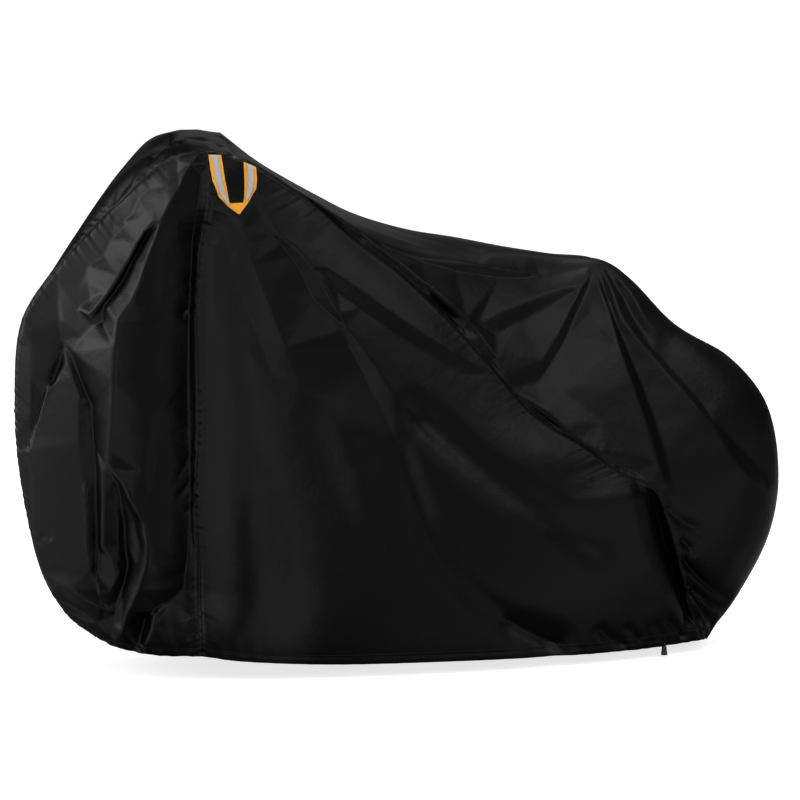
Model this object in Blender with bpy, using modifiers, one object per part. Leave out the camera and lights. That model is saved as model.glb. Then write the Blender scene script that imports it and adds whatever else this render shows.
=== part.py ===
"""Bicycle cover: thin fitted cloth draped over a handlebar, a saddle and two wheels.

Metres, +Z up, +X towards the rear wheel. The near side is -Y. Every table below is measured
from the floor under the handlebar; the finished cover is then moved so that the origin is the
point under its top where it rests on the handlebar.
"""

import bmesh
import bpy
import numpy as np
from mathutils.bvhtree import BVHTree

# Driving dimensions -----------------------------------------------------------------------
CLOTH = 0.0012  # thickness of the cloth as a solid
GAP = 0.0003  # space left between neighbouring pieces
SEAM_INSET = 0.0004  # how far each panel stops short of the middle of a seam
ROWS = 36  # points along each of the long seams
NEAR_SIDE_COLUMNS = 30
FAR_SIDE_COLUMNS = 15
NEAR_FRONT_COLUMNS = 20
FAR_FRONT_COLUMNS = 9
GUSSET_COLUMNS = 9
ROOF_SPLIT = 3  # columns of the roof for each column of the gusset
BAR_STATIONS = 3  # extra gusset rows over the end of the bar
CURVE_STEPS = 24  # short steps between two rows of a table, from which even points are read

BAR_REST = (0.0, 0.0, 1.185)  # underside of the cover on the handlebar, from the floor

# Front gusset and its seam: x and z of the near edge, how far each edge lies to its side,
# how far the far edge is set back, and how far the strip crowns outwards.
FRONT_SEAM_COLUMNS = ("x", "z", "near", "far", "setback", "crown")
FRONT_SEAM = {
    "front hem": (-0.300, 0.085, 0.060, 0.070, 0.015, 0.004),
    "toe": (-0.364, 0.138, 0.050, 0.070, 0.025, 0.004),
    "low wheel": (-0.420, 0.245, 0.035, 0.070, 0.030, 0.004),
    "wheel axle": (-0.458, 0.440, 0.020, 0.065, 0.034, 0.004),
    "wheel front": (-0.467, 0.610, 0.015, 0.060, 0.034, 0.004),
    "wheel brow": (-0.450, 0.778, 0.020, 0.060, 0.030, 0.006),
    "wheel top": (-0.376, 0.895, 0.050, 0.065, 0.030, 0.006),
    "fork rise": (-0.286, 1.010, 0.100, 0.100, 0.030, 0.008),
    "cable rise": (-0.238, 1.064, 0.145, 0.140, 0.030, 0.012),
    "lever": (-0.158, 1.130, 0.220, 0.215, 0.015, 0.032),
    "grip front": (-0.108, 1.147, 0.275, 0.275, 0.000, 0.042),
}

# Upright seam between the front panel and the side panel, top to hem.
PLACE_COLUMNS = ("x", "y", "z")
UPRIGHT_SEAM = {
    "hem": (-0.084, -0.180, 0.055),
    "snag": (-0.083, -0.210, 0.240),
    "kink": (-0.097, -0.235, 0.410),
    "middle": (-0.090, -0.250, 0.567),
    "upper": (-0.098, -0.270, 0.799),
    "high": (-0.092, -0.281, 0.920),
    "under grip": (-0.074, -0.289, 1.071),
    "grip": (-0.080, -0.290, 1.148),
}

# Ribs of the top and rear panel from the slanting seam up to the ridge: the seam point, the
# shoulder where the wall turns into the roof, and the ridge over the middle.
RIB_COLUMNS = ("seam_x", "seam_y", "seam_z", "shoulder_x", "shoulder_y", "shoulder_z",
               "ridge_x", "ridge_y", "ridge_z")
RIBS = {
    "rear hem": (1.086, -0.100, 0.030, 1.108, -0.060, 0.024, 1.128, 0.0, 0.021),
    "rear low": (1.052, -0.118, 0.125, 1.150, -0.078, 0.145, 1.205, 0.0, 0.112),
    "rear wheel": (1.020, -0.135, 0.215, 1.185, -0.088, 0.270, 1.278, 0.0, 0.250),
    "rear axle": (0.995, -0.148, 0.290, 1.190, -0.090, 0.400, 1.300, 0.0, 0.395),
    "rear brow": (0.975, -0.157, 0.340, 1.160, -0.088, 0.540, 1.268, 0.0, 0.555),
    "rear top": (0.951, -0.165, 0.385, 1.075, -0.085, 0.645, 1.170, 0.0, 0.670),
    "rear dip": (0.903, -0.172, 0.411, 0.985, -0.080, 0.735, 1.045, 0.0, 0.733),
    "saddle back": (0.845, -0.180, 0.442, 0.905, -0.078, 0.822, 0.945, 0.0, 0.825),
    "saddle": (0.783, -0.187, 0.488, 0.845, -0.072, 0.862, 0.860, 0.0, 0.880),
    "saddle nose": (0.655, -0.195, 0.571, 0.740, -0.085, 0.868, 0.750, 0.0, 0.906),
    "behind post": (0.562, -0.200, 0.675, 0.620, -0.110, 0.888, 0.640, 0.0, 0.927),
    "post": (0.455, -0.210, 0.790, 0.500, -0.145, 0.908, 0.525, 0.0, 0.950),
    "frame": (0.349, -0.220, 0.889, 0.385, -0.172, 0.935, 0.415, 0.0, 0.969),
    "stem side": (0.243, -0.235, 0.968, 0.262, -0.206, 0.985, 0.300, 0.0, 1.003),
    "behind bar": (0.156, -0.252, 1.041, 0.160, -0.230, 1.048, 0.210, 0.0, 1.046),
    "bar back": (0.029, -0.280, 1.118, 0.040, -0.215, 1.122, 0.080, 0.0, 1.122),
    "bar": (-0.037, -0.290, 1.145, -0.025, -0.200, 1.163, 0.008, 0.0, 1.186),
}

# Near hem between the ends of the long seams, in the same columns as the upright seam.
FRONT_HEM = {
    "front hem": (-0.300, -0.060, 0.085),
    "front tuck": (-0.262, -0.105, 0.070),
    "front swell": (-0.185, -0.145, 0.056),
    "upright seam": (-0.084, -0.180, 0.055),
}
SIDE_HEM = {
    "upright seam": (-0.084, -0.180, 0.055),
    "front wheel": (0.018, -0.200, 0.042),
    "crank front": (0.214, -0.222, 0.032),
    "crank": (0.485, -0.225, 0.028),
    "stay": (0.720, -0.205, 0.025),
    "rear wheel": (0.916, -0.165, 0.024),
    "slanting seam": (1.086, -0.100, 0.027),
}


# Folds pressed into the side walls: a soft ridge (height above 0) or trough (below 0) along a
# path from its start through its middle to its end, seen from the side. The width is where
# the height has dropped to a third, at the start and at the end, and lean narrows the edge on
# the left of the path and widens the other.
FOLD_COLUMNS = ("start_x", "start_z", "middle_x", "middle_z", "end_x", "end_z",
                "start_width", "end_width", "height", "lean")
NEAR_FOLDS = {
    "front ridge": (-0.120, 1.115, -0.232, 0.810, -0.275, 0.430, 0.020, 0.048, 0.036, 0.35),
    "dark band": (-0.106, 1.080, -0.165, 0.760, -0.190, 0.300, 0.017, 0.040, -0.032, 0.0),
    "wheel channel": (-0.372, 0.745, -0.397, 0.625, -0.432, 0.530, 0.015, 0.022, -0.018, 0.0),
    "wheel facet": (-0.362, 0.680, -0.352, 0.500, -0.352, 0.320, 0.020, 0.034, 0.016, -0.3),
    "wheel line": (-0.362, 0.740, -0.315, 0.600, -0.304, 0.310, 0.016, 0.026, -0.026, 0.0),
    "tongue": (-0.276, 0.480, -0.212, 0.320, -0.236, 0.090, 0.020, 0.028, 0.024, 0.0),
    "pit": (-0.268, 0.340, -0.262, 0.220, -0.266, 0.110, 0.022, 0.026, -0.028, 0.0),
    "front gap": (-0.190, 0.260, -0.208, 0.150, -0.218, 0.050, 0.018, 0.022, -0.018, 0.0),
    "grip trough": (-0.052, 1.020, -0.005, 0.850, 0.080, 0.670, 0.018, 0.034, -0.009, 0.0),
    "fan valley": (0.012, 1.060, 0.108, 0.905, 0.225, 0.755, 0.016, 0.028, -0.021, -0.2),
    "fan ridge": (0.090, 0.975, 0.215, 0.785, 0.340, 0.560, 0.014, 0.030, 0.010, 0.0),
    "slant valley": (0.115, 0.960, 0.340, 0.795, 0.520, 0.675, 0.018, 0.026, -0.013, 0.0),
    "middle trough": (0.330, 0.650, 0.580, 0.420, 0.860, 0.225, 0.028, 0.042, -0.020, 0.0),
    "low trough": (0.335, 0.530, 0.455, 0.250, 0.765, 0.030, 0.028, 0.042, -0.032, 0.0),
    "corner wedge": (0.884, 0.430, 0.912, 0.290, 1.038, 0.040, 0.024, 0.032, -0.032, 0.0),
    "seam overhang": (0.290, 0.958, 0.455, 0.828, 0.600, 0.650, 0.014, 0.022, 0.014, -0.5),
    "roof valley": (0.320, 0.945, 0.560, 0.874, 0.820, 0.872, 0.016, 0.018, -0.010, 0.0),
    "nose wedge": (0.828, 0.868, 0.745, 0.750, 0.664, 0.640, 0.014, 0.040, 0.012, 0.0),
    "saddle crease": (0.817, 0.850, 0.780, 0.775, 0.745, 0.700, 0.010, 0.022, -0.010, 0.0),
    "saddle wedge": (0.840, 0.805, 0.878, 0.625, 0.958, 0.410, 0.014, 0.045, 0.012, 0.0),
    "saddle trough": (0.864, 0.800, 0.915, 0.640, 0.990, 0.300, 0.014, 0.032, -0.017, 0.0),
    "rear crease": (0.885, 0.802, 0.975, 0.662, 1.107, 0.522, 0.012, 0.022, -0.014, 0.0),
    "saddle fold": (0.856, 0.862, 0.912, 0.798, 0.985, 0.708, 0.010, 0.018, -0.010, 0.0),
    "rear wedge": (1.108, 0.515, 1.162, 0.455, 1.262, 0.368, 0.014, 0.022, -0.014, 0.0),
}
FAR_FOLDS = {
    "front ridge": (-0.125, 1.090, -0.215, 0.790, -0.285, 0.360, 0.022, 0.050, 0.024, 0.3),
    "dark band": (-0.108, 1.050, -0.150, 0.700, -0.205, 0.240, 0.018, 0.042, -0.020, 0.0),
    "wheel channel": (-0.350, 0.800, -0.360, 0.620, -0.400, 0.430, 0.014, 0.022, -0.014, 0.0),
    "tongue": (-0.290, 0.400, -0.250, 0.250, -0.225, 0.085, 0.018, 0.028, -0.018, 0.0),
    "grip trough": (-0.040, 1.020, 0.040, 0.800, 0.160, 0.520, 0.018, 0.040, -0.012, 0.0),
    "fan valley": (0.030, 1.030, 0.180, 0.820, 0.390, 0.600, 0.016, 0.036, -0.014, 0.0),
    "fan ridge": (0.080, 0.960, 0.250, 0.690, 0.430, 0.380, 0.016, 0.040, 0.012, 0.0),
    "low trough": (0.250, 0.420, 0.430, 0.220, 0.700, 0.035, 0.026, 0.040, -0.022, 0.0),
    "middle trough": (0.420, 0.640, 0.640, 0.400, 0.900, 0.170, 0.026, 0.040, -0.015, 0.0),
    "corner wedge": (0.900, 0.400, 0.935, 0.260, 1.030, 0.045, 0.018, 0.028, -0.022, 0.0),
    "nose wedge": (0.826, 0.860, 0.720, 0.770, 0.600, 0.700, 0.014, 0.036, -0.010, 0.0),
    "saddle wedge": (0.845, 0.800, 0.860, 0.640, 0.905, 0.440, 0.014, 0.040, 0.012, 0.0),
    "saddle trough": (0.868, 0.800, 0.935, 0.620, 1.020, 0.330, 0.014, 0.034, -0.015, 0.0),
    "rear crease": (0.900, 0.800, 1.010, 0.660, 1.180, 0.500, 0.012, 0.024, -0.012, 0.0),
}
FOLD_STEPS = 10  # straight pieces that stand for the path of a fold
FOLD_FADE = 0.16  # share of its path over which a fold dies out at each end
MIDDLE_FADE = (0.012, 0.060)  # the walls' folds die out between these distances of the middle
FRONT_TURN = (0.060, 0.420)  # folds turn forwards between these distances in front of the origin
REAR_TURN = (1.000, 1.280)  # and backwards between these distances behind it
TURN_SHARE = 0.85  # how far forwards or backwards for each step sideways, fully turned

# Hanging loop: its outer and inner edge and how far each stands off the wall, along the strap.
LOOP_COLUMNS = ("outer_x", "outer_z", "inner_x", "inner_z", "outer_off", "inner_off")
LOOP = {
    "front leg sewn": (-0.0795, 1.1425, -0.0530, 1.1420, 0.0000, 0.0000),
    "front leg upper": (-0.0765, 1.1180, -0.0495, 1.1180, 0.0015, 0.0012),
    "front leg": (-0.0725, 1.0960, -0.0465, 1.0980, 0.0030, 0.0020),
    "front leg lower": (-0.0600, 1.0600, -0.0410, 1.0700, 0.0050, 0.0020),
    "front turn": (-0.0385, 1.0385, -0.0385, 1.0540, 0.0065, 0.0015),
    "front crease": (-0.0180, 1.0235, -0.0375, 1.0460, 0.0070, 0.0010),
    "rear crease": (-0.0145, 1.0235, -0.0045, 1.0470, 0.0070, 0.0010),
    "rear turn": (0.0060, 1.0500, -0.0042, 1.0570, 0.0065, 0.0015),
    "rear leg lower": (0.0210, 1.0760, -0.0035, 1.0750, 0.0040, 0.0020),
    "rear leg": (0.0232, 1.0950, -0.0038, 1.0980, 0.0020, 0.0012),
    "rear leg sewn": (0.0222, 1.1150, -0.0050, 1.1270, 0.0000, 0.0000),
}
WEBBING = 0.0012
TAPE = 0.0010
TAPE_GAP = 0.0004
TAPE_EDGES = (0.29, 0.71)  # where the tape starts and stops across the webbing
TAPE_ROWS = {"loop_tape_front": (0, 4), "loop_tape_rear": (7, 10)}  # first and last loop row
NEAR_WALLS = ("near_side_panel", "near_front_panel", "top_rear_panel")  # what the loop lies on
CLEAR_OF_WALL = -1.0  # a y well outside the near walls
STRAP_COLUMNS = 5
STRAP_ROWS = 2  # rows of faces between two rows of the table

# Elastic cord that comes out of the rear hem, and the bell on its end.
CORD_X = 0.982
CORD_DIAMETER = 0.0035
CORD_LENGTH = 0.0060
BELL = {"top": (0.0000, 0.0026), "neck": (0.0030, 0.0032), "shoulder": (0.0065, 0.0052),
        "skirt": (0.0130, 0.0064), "rim": (0.0165, 0.0066)}  # depth below its top, radius
BELL_SIDES = 20


def table(rows, names, *wanted):
    """Wanted columns of a named table as an array, one line for each row; all if none is named."""
    values = np.array(list(rows.values()), dtype=float)
    return values[:, [names.index(name) for name in wanted or names]]


def smooth_path(points, count):
    """Evenly spaced points on a Catmull-Rom curve through the given ones."""
    points = np.asarray(points, dtype=float)
    padded = np.vstack([2 * points[0] - points[1], points, 2 * points[-1] - points[-2]])
    t = np.linspace(0.0, 1.0, CURVE_STEPS, endpoint=False)[:, None]
    dense = []
    for a, b, c, d in zip(padded, padded[1:], padded[2:], padded[3:]):
        dense.append(0.5 * (2 * b + (c - a) * t + (2 * a - 5 * b + 4 * c - d) * t ** 2
                            + (3 * b - 3 * c + d - a) * t ** 3))
    dense = np.vstack(dense + [points[-1:]])
    run = np.concatenate([[0.0], np.cumsum(np.linalg.norm(np.diff(dense[:, :3], axis=0), axis=1))])
    at = np.linspace(0.0, run[-1], count)
    return np.stack([np.interp(at, run, column) for column in dense.T], axis=1)


def coons(left, right, bottom, top):
    """Patch between four edges; left and right run upwards, bottom and top to the right."""
    u = np.linspace(0.0, 1.0, len(bottom))[None, :, None]
    v = np.linspace(0.0, 1.0, len(left))[:, None, None]
    across = (1 - u) * left[:, None] + u * right[:, None]
    along = (1 - v) * bottom[None] + v * top[None]
    corners = ((1 - u) * (1 - v) * left[0] + u * (1 - v) * right[0]
               + (1 - u) * v * left[-1] + u * v * right[-1])
    return across + along - corners


def straight(start, end, count):
    """Evenly spaced points on a straight line."""
    return np.linspace(np.asarray(start, float), np.asarray(end, float), count)


def mirrored(points):
    """The same points on the other side of the middle plane."""
    return points * np.array([1.0, -1.0, 1.0])


def inset(grid):
    """Draws the four edges of a grid of points inwards, to leave room at the seams."""
    grid = grid.copy()
    everything = slice(None)
    rims = (((everything, 0), (everything, 1)), ((everything, -1), (everything, -2)),
            ((0, everything), (1, everything)), ((-1, everything), (-2, everything)))
    for rim, inner in rims:
        step = grid[inner] - grid[rim]
        length = np.linalg.norm(step, axis=-1, keepdims=True)
        grid[rim] += step / length * SEAM_INSET
    return grid


class Drape:
    """The seams and surfaces of the cover, from the tables."""

    def __init__(self):
        front = smooth_path(table(FRONT_SEAM, FRONT_SEAM_COLUMNS), ROWS)
        x, z, near, far, setback, crown = front.T
        self.front_near = np.stack([x, -near, z], axis=1)
        self.front_far = np.stack([x + setback, far, z], axis=1)
        self.front_crown = crown
        self.upright = smooth_path(table(UPRIGHT_SEAM, PLACE_COLUMNS), ROWS)
        ribs = smooth_path(table(RIBS, RIB_COLUMNS), ROWS)
        self.slant, self.shoulder, self.ridge = ribs[:, 0:3], ribs[:, 3:6], ribs[:, 6:9]

    def side(self, columns):
        """Grid of a side panel on the near side, hem to handle end."""
        bottom = smooth_path(table(SIDE_HEM, PLACE_COLUMNS), columns)
        top = straight(self.upright[-1], self.slant[-1], columns)
        return coons(self.upright, self.slant, bottom, top)

    def near_front(self):
        """Grid of the near front panel, hem to handle end."""
        bottom = smooth_path(table(FRONT_HEM, PLACE_COLUMNS), NEAR_FRONT_COLUMNS)
        top = straight(self.front_near[-1], self.upright[-1], NEAR_FRONT_COLUMNS)
        return coons(self.front_near, self.upright, bottom, top)

    def far_front(self):
        """Grid of the far front panel, mirrored but for its gusset edge."""
        hem = mirrored(table(FRONT_HEM, PLACE_COLUMNS))
        hem[0] = self.front_far[0]
        bottom = smooth_path(hem, FAR_FRONT_COLUMNS)
        upright = mirrored(self.upright)
        top = straight(self.front_far[-1], upright[-1], FAR_FRONT_COLUMNS)
        return coons(self.front_far, upright, bottom, top)[:, ::-1]

    def rib(self, row, columns):
        """Points over the roof from seam to seam at one row of the ribs."""
        seam, shoulder, ridge = self.slant[row], self.shoulder[row], self.ridge[row]
        return smooth_path([seam, shoulder, ridge, mirrored(shoulder), mirrored(seam)], columns)

    def gusset(self):
        """Grid of the front gusset, front hem to bar, far edge to near edge."""
        far_upright = mirrored(self.upright)
        over_near = straight(self.upright[-1], self.slant[-1], BAR_STATIONS)
        over_far = straight(far_upright[-1], mirrored(self.slant)[-1], BAR_STATIONS)
        near = np.vstack([self.front_near, over_near])
        far = np.vstack([self.front_far, over_far])
        crown = np.concatenate([self.front_crown, np.full(BAR_STATIONS, self.front_crown[-1])])
        along = np.gradient(0.5 * (near + far), axis=0)
        out = np.stack([-along[:, 2], 0 * along[:, 0], along[:, 0]], axis=1)
        out /= np.linalg.norm(out, axis=1, keepdims=True)
        u = np.linspace(0.0, 1.0, GUSSET_COLUMNS)[None, :, None]
        chord = (1 - u) * near[:, None] + u * far[:, None]
        arch = (4 * u * (1 - u)) * crown[:, None, None] * out[:, None]
        last = self.rib(-1, GUSSET_COLUMNS) - chord[-1]
        place = np.arange(len(near)) - (len(near) - 1)
        share = fade(place.astype(float), -3.0 * BAR_STATIONS, 0.0)[:, None, None]
        return (chord + (1 - share) * arch + share * last[None])[:, ::-1]

    def roof(self):
        """Grid of the top and rear panel, rear hem to bar, near seam to far seam."""
        columns = ROOF_SPLIT * (GUSSET_COLUMNS - 1) + 1
        rows = [self.rib(row, columns) for row in range(ROWS)]
        last = self.rib(-1, GUSSET_COLUMNS)
        at = np.linspace(0.0, GUSSET_COLUMNS - 1, columns)
        rows[-1] = np.stack([np.interp(at, np.arange(GUSSET_COLUMNS), axis) for axis in last.T],
                            axis=1)
        return np.array(rows)


def fold_path(fold):
    """Points along the curve of one fold, which passes through its three named places."""
    start = np.array([fold["start_x"], fold["start_z"]])
    middle = np.array([fold["middle_x"], fold["middle_z"]])
    end = np.array([fold["end_x"], fold["end_z"]])
    handle = 2 * middle - 0.5 * (start + end)
    t = np.linspace(0.0, 1.0, FOLD_STEPS + 1)[:, None]
    return (1 - t) ** 2 * start + 2 * t * (1 - t) * handle + t ** 2 * end


def fade(value, low, high):
    """Smooth step from 0 at low to 1 at high."""
    t = np.clip((value - low) / (high - low), 0.0, 1.0)
    return t * t * (3 - 2 * t)


def fold_height(flat, fold):
    """How far one fold lifts each point, given as x and z."""
    path = fold_path(fold)
    best = np.full(len(flat), np.inf)
    side = np.zeros(len(flat))
    place = np.zeros(len(flat))
    for step, (a, b) in enumerate(zip(path, path[1:])):
        run = b - a
        t = np.clip(((flat - a) @ run) / (run @ run), 0.0, 1.0)
        off = flat - a - t[:, None] * run
        distance = np.hypot(off[:, 0], off[:, 1])
        nearer = distance < best
        best = np.where(nearer, distance, best)
        side = np.where(nearer, np.sign(run[0] * off[:, 1] - run[1] * off[:, 0]), side)
        place = np.where(nearer, (step + t) / FOLD_STEPS, place)
    width = fold["start_width"] + (fold["end_width"] - fold["start_width"]) * place
    width *= 1 - fold["lean"] * side
    ends = fade(place, 0.0, FOLD_FADE) * fade(1 - place, 0.0, FOLD_FADE)
    return fold["height"] * ends * np.exp(-(best / width) ** 2)


def folded(grid):
    """Pushes a grid of points out or in by the folds of the side it lies on."""
    points = grid.reshape(-1, 3)
    flat = points[:, [0, 2]]
    near, far = (sum(fold_height(flat, dict(zip(FOLD_COLUMNS, row))) for row in rows.values())
                 for rows in (NEAR_FOLDS, FAR_FOLDS))
    height = np.where(points[:, 1] < 0, near, far)
    height *= fade(np.abs(points[:, 1]), *MIDDLE_FADE)
    forwards = TURN_SHARE * fade(-points[:, 0], *FRONT_TURN)
    backwards = TURN_SHARE * fade(points[:, 0], *REAR_TURN)
    sideways = np.where(points[:, 1] < 0, -1.0, 1.0)
    out = np.stack([backwards - forwards, sideways, 0 * height], axis=1)
    out /= np.linalg.norm(out, axis=1, keepdims=True)
    return (points + height[:, None] * out).reshape(grid.shape)


def placed(grid):
    """Moves points measured from the floor so that the bar rest is the origin."""
    return grid - np.array(BAR_REST)


class Wall:
    """Finds how far out the near panels stand at an x and a z."""

    def __init__(self, grids):
        points = []
        quads = []
        for grid in grids:
            rows, columns = grid.shape[:2]
            corner = np.arange(rows * columns).reshape(rows, columns) + len(points)
            loops = np.stack([corner[:-1, :-1], corner[:-1, 1:], corner[1:, 1:], corner[1:, :-1]],
                             axis=-1)
            points += grid.reshape(-1, 3).tolist()
            quads += loops.reshape(-1, 4).tolist()
        self.tree = BVHTree.FromPolygons(points, quads)

    def y(self, x, z):
        """Where a line from the near side at this x and z meets a panel's inner face."""
        return self.tree.ray_cast((x, CLEAR_OF_WALL, z), (0.0, 1.0, 0.0))[0].y


def strap(wall, edges, rows, lift):
    """Grid of a flat strap that follows the loop's table, from one share of its width to another."""
    table_rows = table(LOOP, LOOP_COLUMNS)[rows[0]:rows[1] + 1]
    path = []
    for a, b in zip(table_rows, table_rows[1:]):
        path += [a + (b - a) * step / STRAP_ROWS for step in range(STRAP_ROWS)]
    path.append(table_rows[-1])
    grid = []
    for outer_x, outer_z, inner_x, inner_z, outer_off, inner_off in path:
        row = []
        for share in np.linspace(*edges, STRAP_COLUMNS):
            x = outer_x + (inner_x - outer_x) * share
            z = outer_z + (inner_z - outer_z) * share
            off = outer_off + (inner_off - outer_off) * share
            row.append((x, wall.y(x, z) - CLOTH - GAP - off - lift, z))
        grid.append(row[::-1])
    return np.array(grid)


def cloth_object(name, grid, colour, collection, thickness=CLOTH):
    """Open surface through a grid of points, thickened outwards into a closed sheet."""
    rows, columns = grid.shape[:2]
    bm = bmesh.new()
    bmesh.ops.create_grid(bm, x_segments=columns - 1, y_segments=rows - 1, size=0.5)
    for vert in bm.verts:
        column = round((vert.co.x + 0.5) * (columns - 1))
        row = round((vert.co.y + 0.5) * (rows - 1))
        vert.co = grid[row, column]
    mesh = bpy.data.meshes.new(name)
    bm.to_mesh(mesh)
    bm.free()
    obj = bpy.data.objects.new(name, mesh)
    collection.objects.link(obj)
    solid = obj.modifiers.new("thickness", "SOLIDIFY")
    solid.thickness = thickness
    solid.offset = 1.0
    solid.use_even_offset = False
    mesh.materials.append(colour)
    return obj


def material(name, colour, roughness):
    """Principled material of one colour."""
    found = bpy.data.materials.new(name)
    found.use_nodes = True
    shader = found.node_tree.nodes["Principled BSDF"]
    shader.inputs["Base Color"].default_value = (*colour, 1.0)
    shader.inputs["Roughness"].default_value = roughness
    shader.inputs["Metallic"].default_value = 0.0
    return found


def clear_scene():
    """Removes whatever objects the scene already has."""
    for obj in list(bpy.data.objects):
        bpy.data.objects.remove(obj, do_unlink=True)


def add_loop(walls, colours, collection):
    """Webbing loop under the handle end and the reflective tape on its two legs."""
    wall = Wall(walls)
    orange, grey = colours
    last = len(LOOP) - 1
    web = strap(wall, (0.0, 1.0), (0, last), 0.0)
    cloth_object("hanging_loop", placed(web), orange, collection, WEBBING)
    for name, rows in TAPE_ROWS.items():
        tape = strap(wall, TAPE_EDGES, rows, WEBBING + TAPE_GAP)
        cloth_object(name, placed(tape), grey, collection, TAPE)


def add_cord(hem, colours, collection):
    """Short end of the elastic cord and its bell, right below the rear hem."""
    black, plastic = colours
    hem_y = np.interp(CORD_X, hem[:, 0], hem[:, 1]) - CLOTH / 2
    hem_z = np.interp(CORD_X, hem[:, 0], hem[:, 2])
    top = placed(np.array([CORD_X, hem_y, hem_z - GAP]))
    bpy.ops.mesh.primitive_cylinder_add(vertices=BELL_SIDES, radius=CORD_DIAMETER / 2,
                                        depth=CORD_LENGTH,
                                        location=top - np.array([0, 0, CORD_LENGTH / 2]))
    cord = bpy.context.object
    cord.name = "hem_cord"
    cord.data.materials.append(black)
    take(cord, collection)
    bell = bpy.data.objects.new("hem_cord_end", bell_mesh())
    bell.location = top - np.array([0, 0, CORD_LENGTH + GAP])
    bell.data.materials.append(plastic)
    collection.objects.link(bell)
    screw = bell.modifiers.new("turn", "SCREW")
    screw.steps = BELL_SIDES
    screw.render_steps = BELL_SIDES
    screw.merge_threshold = 0.00001
    screw.use_merge_vertices = True


def bell_mesh():
    """Half profile of the bell, from the middle of its top round to the middle of its foot."""
    outline = [(0.0, 0.0)] + [(radius, -depth) for depth, radius in BELL.values()]
    outline.append((0.0, -BELL["rim"][0]))
    bm = bmesh.new()
    verts = [bm.verts.new((x, 0.0, z)) for x, z in outline]
    for a, b in zip(verts, verts[1:]):
        bm.edges.new((a, b))
    mesh = bpy.data.meshes.new("hem_cord_end")
    bm.to_mesh(mesh)
    bm.free()
    return mesh


def take(obj, collection):
    """Moves an object into a collection."""
    for holder in list(obj.users_collection):
        holder.objects.unlink(obj)
    collection.objects.link(obj)


def main():
    """Builds the whole cover."""
    clear_scene()
    cover = bpy.data.collections.new("bicycle_cover")
    bpy.context.scene.collection.children.link(cover)
    black = material("black_polyester", (0.012, 0.012, 0.014), 0.45)
    orange = material("orange_webbing", (1.0, 0.42, 0.06), 0.70)
    grey = material("reflective_tape", (0.42, 0.43, 0.46), 0.35)
    plastic = material("black_plastic", (0.010, 0.010, 0.010), 0.40)
    drape = Drape()
    panels = {
        "near_side_panel": drape.side(NEAR_SIDE_COLUMNS),
        "near_front_panel": drape.near_front(),
        "far_side_panel": mirrored(drape.side(FAR_SIDE_COLUMNS))[:, ::-1],
        "far_front_panel": drape.far_front(),
        "front_gusset": drape.gusset(),
        "top_rear_panel": drape.roof(),
    }
    panels = {name: folded(grid) for name, grid in panels.items()}
    for name, grid in panels.items():
        cloth_object(name, placed(inset(grid)), black, cover)
    add_loop([panels[name] for name in NEAR_WALLS], (orange, grey), cover)
    hem = inset(panels["near_side_panel"])[0]
    add_cord(hem, (black, plastic), cover)


main()
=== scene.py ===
"""Bicycle cover dressed for its photograph: folds, seams, stitching, hem, loop and finishes.

Metres, +Z up, +X towards the rear wheel, near side -Y. The tables of seams and folds measure from
the floor under the handlebar; BAR_REST then moves everything so that the origin is the point
under the cover's top where it rests on the handlebar, as in the loaded frame.
"""
import logging
from dataclasses import dataclass, field
from enum import Enum

import bmesh
import bpy
import numpy as np
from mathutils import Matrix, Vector
from mathutils.bvhtree import BVHTree
from mathutils.geometry import delaunay_2d_cdt


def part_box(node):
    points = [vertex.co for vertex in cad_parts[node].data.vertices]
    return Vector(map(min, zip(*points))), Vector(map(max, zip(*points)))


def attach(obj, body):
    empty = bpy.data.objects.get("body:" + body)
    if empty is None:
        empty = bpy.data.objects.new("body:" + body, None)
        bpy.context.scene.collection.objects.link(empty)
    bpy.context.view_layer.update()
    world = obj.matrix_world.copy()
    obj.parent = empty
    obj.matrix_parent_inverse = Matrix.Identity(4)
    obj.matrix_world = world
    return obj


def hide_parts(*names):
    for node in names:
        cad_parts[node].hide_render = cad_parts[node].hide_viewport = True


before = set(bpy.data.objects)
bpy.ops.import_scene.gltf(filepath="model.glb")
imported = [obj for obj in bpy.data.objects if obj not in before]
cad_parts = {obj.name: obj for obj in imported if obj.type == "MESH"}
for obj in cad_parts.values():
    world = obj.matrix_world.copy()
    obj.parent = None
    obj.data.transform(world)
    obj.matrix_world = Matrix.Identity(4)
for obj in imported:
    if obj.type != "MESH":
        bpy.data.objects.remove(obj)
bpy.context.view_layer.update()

LOG = logging.getLogger("bicycle_cover")

Array = np.ndarray
Place = tuple[float, float]
Object = bpy.types.Object
Mesh = bpy.types.Mesh
Material = bpy.types.Material
Node = bpy.types.Node
NodeTree = bpy.types.NodeTree
Socket = bpy.types.NodeSocket
Sockets = bpy.types.bpy_prop_collection
CreaseTable = dict[str, tuple[tuple[float, float, float], ...]]

BAR_REST = (0.0, 0.0, 1.185)  # underside of the cover on the handlebar, from the floor
BODY = "root"


class Slot(Enum):
    """Material slots of the record."""

    CLOTH = "cover_cloth"
    WEBBING = "loop_webbing"
    TAPE = "reflective_tape"
    ELASTIC = "hem_elastic"
    PLASTIC = "cord_end_plastic"


# Curves -----------------------------------------------------------------------------------
def fade(value: Array, low: float, high: float) -> Array:
    """Smooth step.

    Args:
        value: Where to read the step.
        low: Where it is still 0.
        high: Where it has reached 1.

    Returns:
        The step at each value, from 0 to 1.
    """
    t = np.clip((value - low) / (high - low), 0.0, 1.0)
    return t * t * (3 - 2 * t)


def mirrored(points: Array) -> Array:
    """The same points on the other side of the middle plane."""
    return points * np.array([1.0, -1.0, 1.0])


def blend_rows(share: Array, start: Array, end: Array) -> Array:
    """Points part of the way from start to end, one share for each point."""
    return start + share[..., None] * (end - start)


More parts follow.
